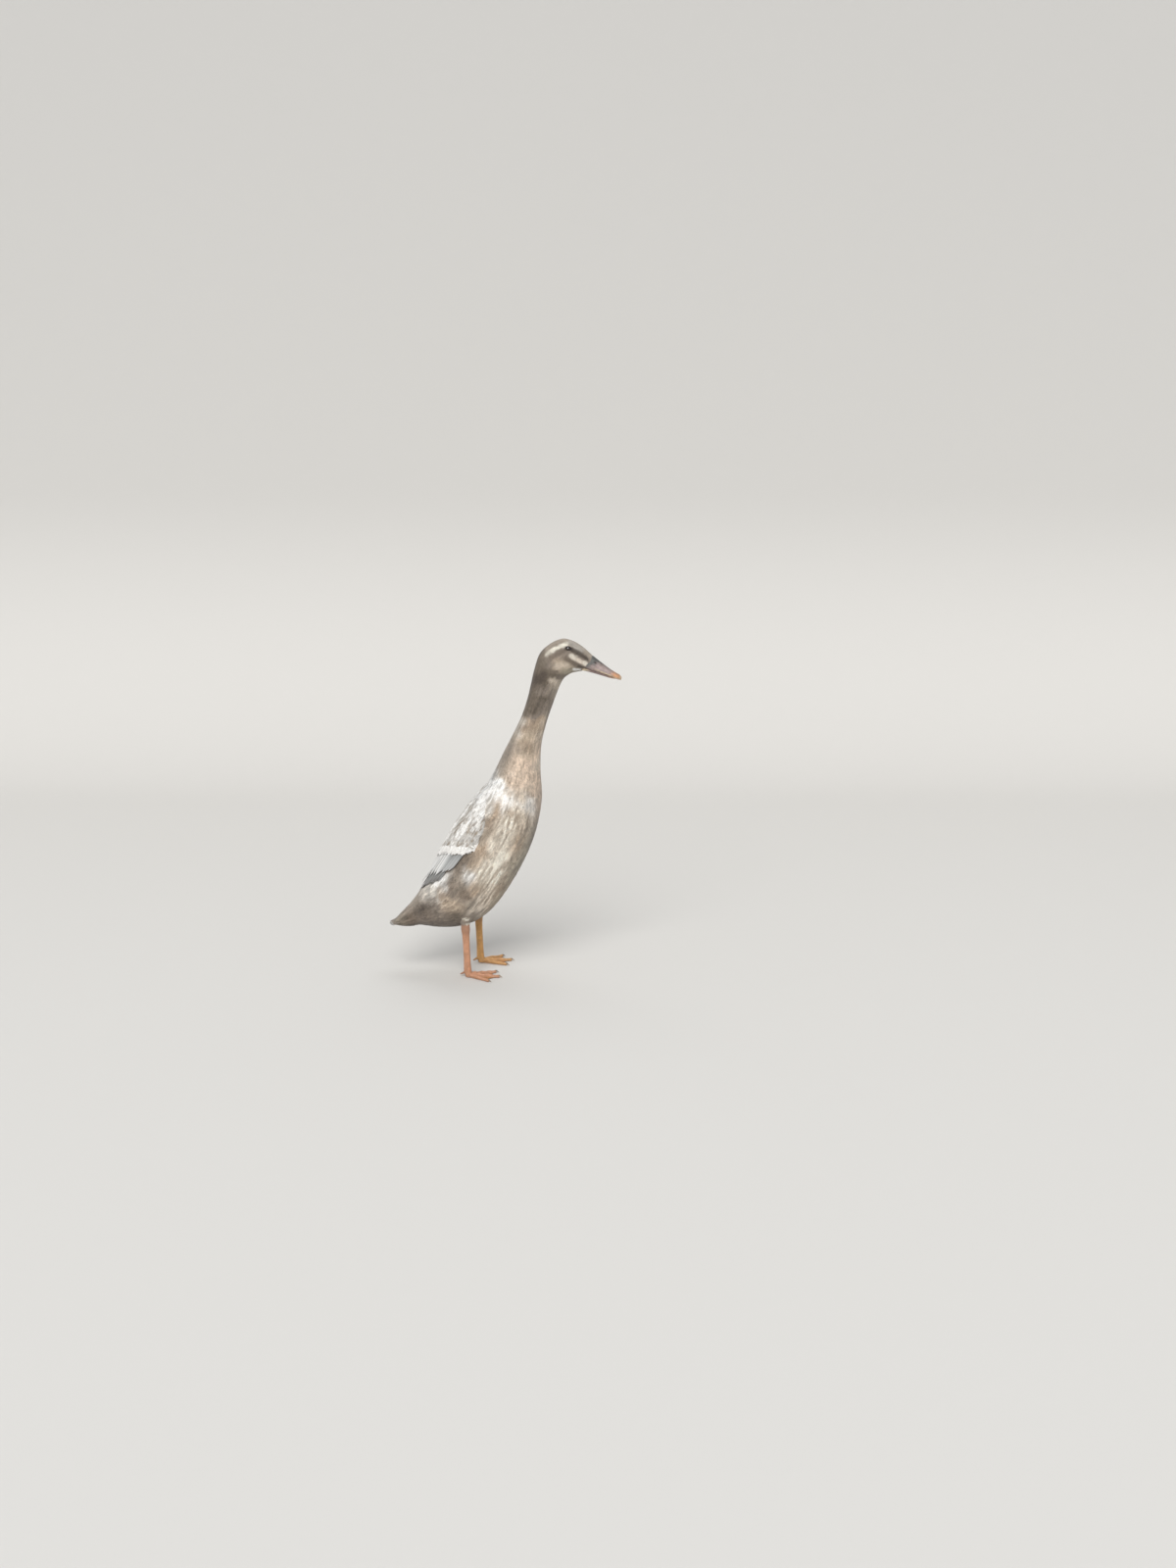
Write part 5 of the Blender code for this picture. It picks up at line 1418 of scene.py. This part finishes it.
class Look:
    """A material, with short ways to add the nodes that its surface needs."""

    def __init__(self, name, roughness, specular):
        self.material = bpy.data.materials.new(name)
        self.material.use_nodes = True
        self.tree = self.material.node_tree
        self.shader = self.tree.nodes["Principled BSDF"]
        self.set(Roughness=roughness, Specular_IOR_Level=specular)

    def set(self, **values):
        """Sets the shader's inputs; an underscore in a name stands for a space."""
        for name, value in values.items():
            self.shader.inputs[name.replace("_", " ")].default_value = value

    def node(self, kind, *sources, **settings):
        """A new node with its settings, its first sockets fed by the sources."""
        made = self.tree.nodes.new("ShaderNode" + kind)
        for key, value in settings.items():
            if key in made.inputs:
                made.inputs[key].default_value = value
            else:
                setattr(made, key, value)
        for socket, source in zip(made.inputs, sources):
            self.feed(source, socket)
        return made

    def feed(self, source, socket):
        """Gives a socket a number, or links it to another node's output."""
        if isinstance(source, (int, float)):
            socket.default_value = source
        else:
            self.tree.links.new(source, socket)

    def calculate(self, operation, *values):
        return self.node("Math", *values, operation=operation).outputs[0]

    def texture(self, kind, **settings):
        """A texture laid through space."""
        place = self.node("NewGeometry").outputs["Position"]
        made = self.node("Tex" + kind, **settings)
        self.feed(place, made.inputs["Vector"])
        return made.outputs[0]

    def split_vane(self):
        """The three numbers that the mesh carries for its barbs or scales."""
        vane = self.node("Attribute", attribute_name="vane").outputs["Vector"]
        return self.node("SeparateXYZ", vane).outputs

    def paint(self, factor=None):
        """The colour that the mesh carries, times a factor."""
        colour = self.node("Attribute", attribute_name="Col").outputs["Color"]
        if factor is not None:
            scaled = self.node("VectorMath", colour, operation="SCALE")
            self.feed(factor, scaled.inputs["Scale"])
            colour = scaled.outputs[0]
        self.feed(colour, self.shader.inputs["Base Color"])

    def emboss(self, height, strength, distance):
        """Fine relief that only shows in the shading."""
        bump = self.node("Bump", Strength=strength, Distance=distance)
        self.feed(height, bump.inputs["Height"])
        self.feed(bump.outputs[0], self.shader.inputs["Normal"])


def feather_material(name, roughness, barbs, depth):
    """Feathers: colour from the mesh, with fine barbs that run out from the shaft."""
    look = Look(name, roughness, 0.35)
    out, along, chance = look.split_vane()
    slanted = look.calculate("MULTIPLY_ADD", look.calculate("ABSOLUTE", out), -0.45, along)
    seeded = look.calculate("MULTIPLY_ADD", slanted, barbs, look.calculate("MULTIPLY", chance, 60.0))
    lines = look.calculate("SINE", seeded)
    grain = look.texture("Noise", Scale=900.0, Detail=3.0)
    look.paint(look.calculate("MULTIPLY_ADD", lines, 0.06, look.calculate("MULTIPLY_ADD", grain, 0.30, 0.85)))
    look.emboss(look.calculate("MULTIPLY_ADD", lines, 0.5, grain), depth, 0.0002)
    look.set(Sheen_Weight=0.25, Sheen_Roughness=0.5)
    return look.material


def grained_material(name, roughness, specular, texture, shades, depth, distance):
    """A plain surface with a fine grain. Texture is its scale and detail, shades how it tints."""
    look = Look(name, roughness, specular)
    grain = look.texture("Noise", Scale=texture[0], Detail=texture[1])
    look.paint(look.calculate("MULTIPLY_ADD", grain, *shades))
    look.emboss(grain, depth, distance)
    return look.material


def bill_material():
    look = Look("bill_horn_look", 0.42, 0.45)
    grain = look.texture("Noise", Scale=600.0, Detail=6.0)
    pores = look.texture("Voronoi", Scale=1500.0)
    look.paint(look.calculate("MULTIPLY_ADD", grain, 0.35, 0.82))
    look.emboss(look.calculate("MULTIPLY_ADD", pores, 0.4, grain), 0.30, 0.0003)
    look.set(Subsurface_Weight=0.08, Subsurface_Radius=(0.004, 0.002, 0.001))
    return look.material


def leg_material():
    """Scaled skin: wide plates down the front of the shank and toes, small scales elsewhere."""
    look = Look("leg_scales", 0.5, 0.45)
    run, front, _ = look.split_vane()
    plate = look.calculate("FRACT", look.calculate("MULTIPLY", run, 1 / SCALE_RUN))
    rise = look.calculate("MULTIPLY", plate, 3.0)
    fall = look.calculate("MULTIPLY", look.calculate("SUBTRACT", 1.0, plate), 9.0)
    plates = look.calculate("MINIMUM", look.calculate("SMOOTH_MIN", rise, fall, 0.4), 1.0)
    scales = look.texture("Voronoi", Scale=720.0, feature="DISTANCE_TO_EDGE")
    grain = look.texture("Noise", Scale=500.0, Detail=4.0)
    small = look.calculate("MINIMUM", look.calculate("MULTIPLY", scales, 6.0), 1.0)
    choice = look.node("Mix", data_type="FLOAT")
    for socket, source in ((0, front), (2, small), (3, plates)):
        look.feed(source, choice.inputs[socket])
    height = choice.outputs[0]
    # Painted shade: the colour darkens in the creases between the scales.
    crease_shade = look.calculate("MULTIPLY_ADD", height, 0.32, 0.70)
    look.paint(look.calculate("MULTIPLY", crease_shade, look.calculate("MULTIPLY_ADD", grain, 0.4, 0.8)))
    look.emboss(height, 0.7, 0.0003)
    look.set(Subsurface_Weight=0.06, Subsurface_Radius=(0.003, 0.0012, 0.0006))
    return look.material


def eye_material():
    look = Look("eye_wet", 0.04, 0.6)
    look.paint()
    look.set(Coat_Weight=1.0, Coat_Roughness=0.02)
    return look.material


def placed_object(name, data):
    made = bpy.data.objects.new(name, data)
    bpy.context.scene.collection.objects.link(made)
    return made


def make_stage():
    """A pale floor that curves up into a backdrop."""
    profile = [(-3.0, 0.0), (-1.0, 0.0), (1.2, 0.0)]
    profile += [(1.2 + 0.8 * math.sin(a), 0.8 - 0.8 * math.cos(a)) for a in np.linspace(0.1, math.pi / 2, 16)]
    profile += [(2.0, 3.5)]
    points = [(x, y, z - 0.0002) for y, z in profile for x in (-4.0, 4.0)]
    floor = make_mesh("floor", points, grid_quads(len(profile), 2))
    look = Look("pale_floor", 0.85, 0.2)
    look.set(Base_Color=(0.62, 0.61, 0.59, 1))
    floor.data.materials.append(look.material)


# The photo's camera: its place, how far it looks down in degrees, and its lens in pixels.
CAMERA_PLACE = (0.1361, -1.825, 0.7236)
CAMERA_TILT = 12.7
LENS_PIXELS, PHOTO_HEIGHT = 1202, 1600
SENSOR_WIDTH = 36.0


def make_camera():
    """Where the photo was taken from, with its lens."""
    camera = bpy.data.cameras.new("camera")
    camera.sensor_width = SENSOR_WIDTH
    camera.lens = LENS_PIXELS / PHOTO_HEIGHT * SENSOR_WIDTH
    camera.clip_start, camera.clip_end = 0.02, 20.0
    placed = placed_object("camera", camera)
    placed.location = CAMERA_PLACE
    placed.rotation_euler = (math.radians(90 - CAMERA_TILT), 0, 0)
    bpy.context.scene.camera = placed


def add_sun(name, way, strength, softness, colour):
    """A broad soft light from far away; way points from the duck to the light."""
    light = bpy.data.lights.new(name, "SUN")
    light.energy, light.angle, light.color = strength, math.radians(softness), colour
    placed = placed_object(name, light)
    placed.rotation_euler = Vector(way).to_track_quat("Z", "Y").to_euler()
    placed.location = Vector(way).normalized() * 3


def make_light():
    add_sun("key", (-0.16, -0.80, 0.85), 2.5, 45, (1.0, 0.985, 0.96))
    add_sun("top", (0.05, 0.55, 0.95), 1.0, 50, (0.96, 0.98, 1.0))
    world = bpy.data.worlds.new("studio")
    world.use_nodes = True
    background = world.node_tree.nodes["Background"]
    background.inputs["Color"].default_value = (0.95, 0.97, 1.0, 1)
    background.inputs["Strength"].default_value = 0.42
    bpy.context.scene.world = world
    bpy.context.scene.view_settings.view_transform = "Standard"


def main():
    feather = feather_material("contour_feathers", 0.80, 40.0, 0.30)
    short_feather = feather_material("short_feathers", 0.82, 24.0, 0.20)
    flight = feather_material("flight_feathers", 0.62, 110.0, 0.30)
    covert = feather_material("covert_feathers", 0.74, 46.0, 0.30)
    down = grained_material("down", 0.9, 0.2, (420.0, 5.0), (0.5, 0.7), 0.6, 0.0005)
    make_skin(down)
    for coat in COATS:
        make_coat(coat, feather if coat.plumage.locks > 1 else short_feather)
    for name, side in SIDES.items():
        make_wing(name, side, flight, covert)
        make_thigh(name, side, short_feather, down)
    make_tail(flight)
    make_bill(bill_material())
    lid_look = grained_material("eyelid_skin", 0.55, 0.4, (900.0, 4.0), (0.3, 0.85), 0.4, 0.0002)
    claw_look = grained_material("claw_horn", 0.35, 0.5, (700.0, 4.0), (0.3, 0.85), 0.2, 0.0002)
    eye_look = eye_material()
    leg_look = leg_material()
    for name, side in SIDES.items():
        make_eye(name, eye_look, lid_look)
        make_leg(name, side, leg_look, claw_look)
    make_stage()
    make_camera()
    make_light()


main()
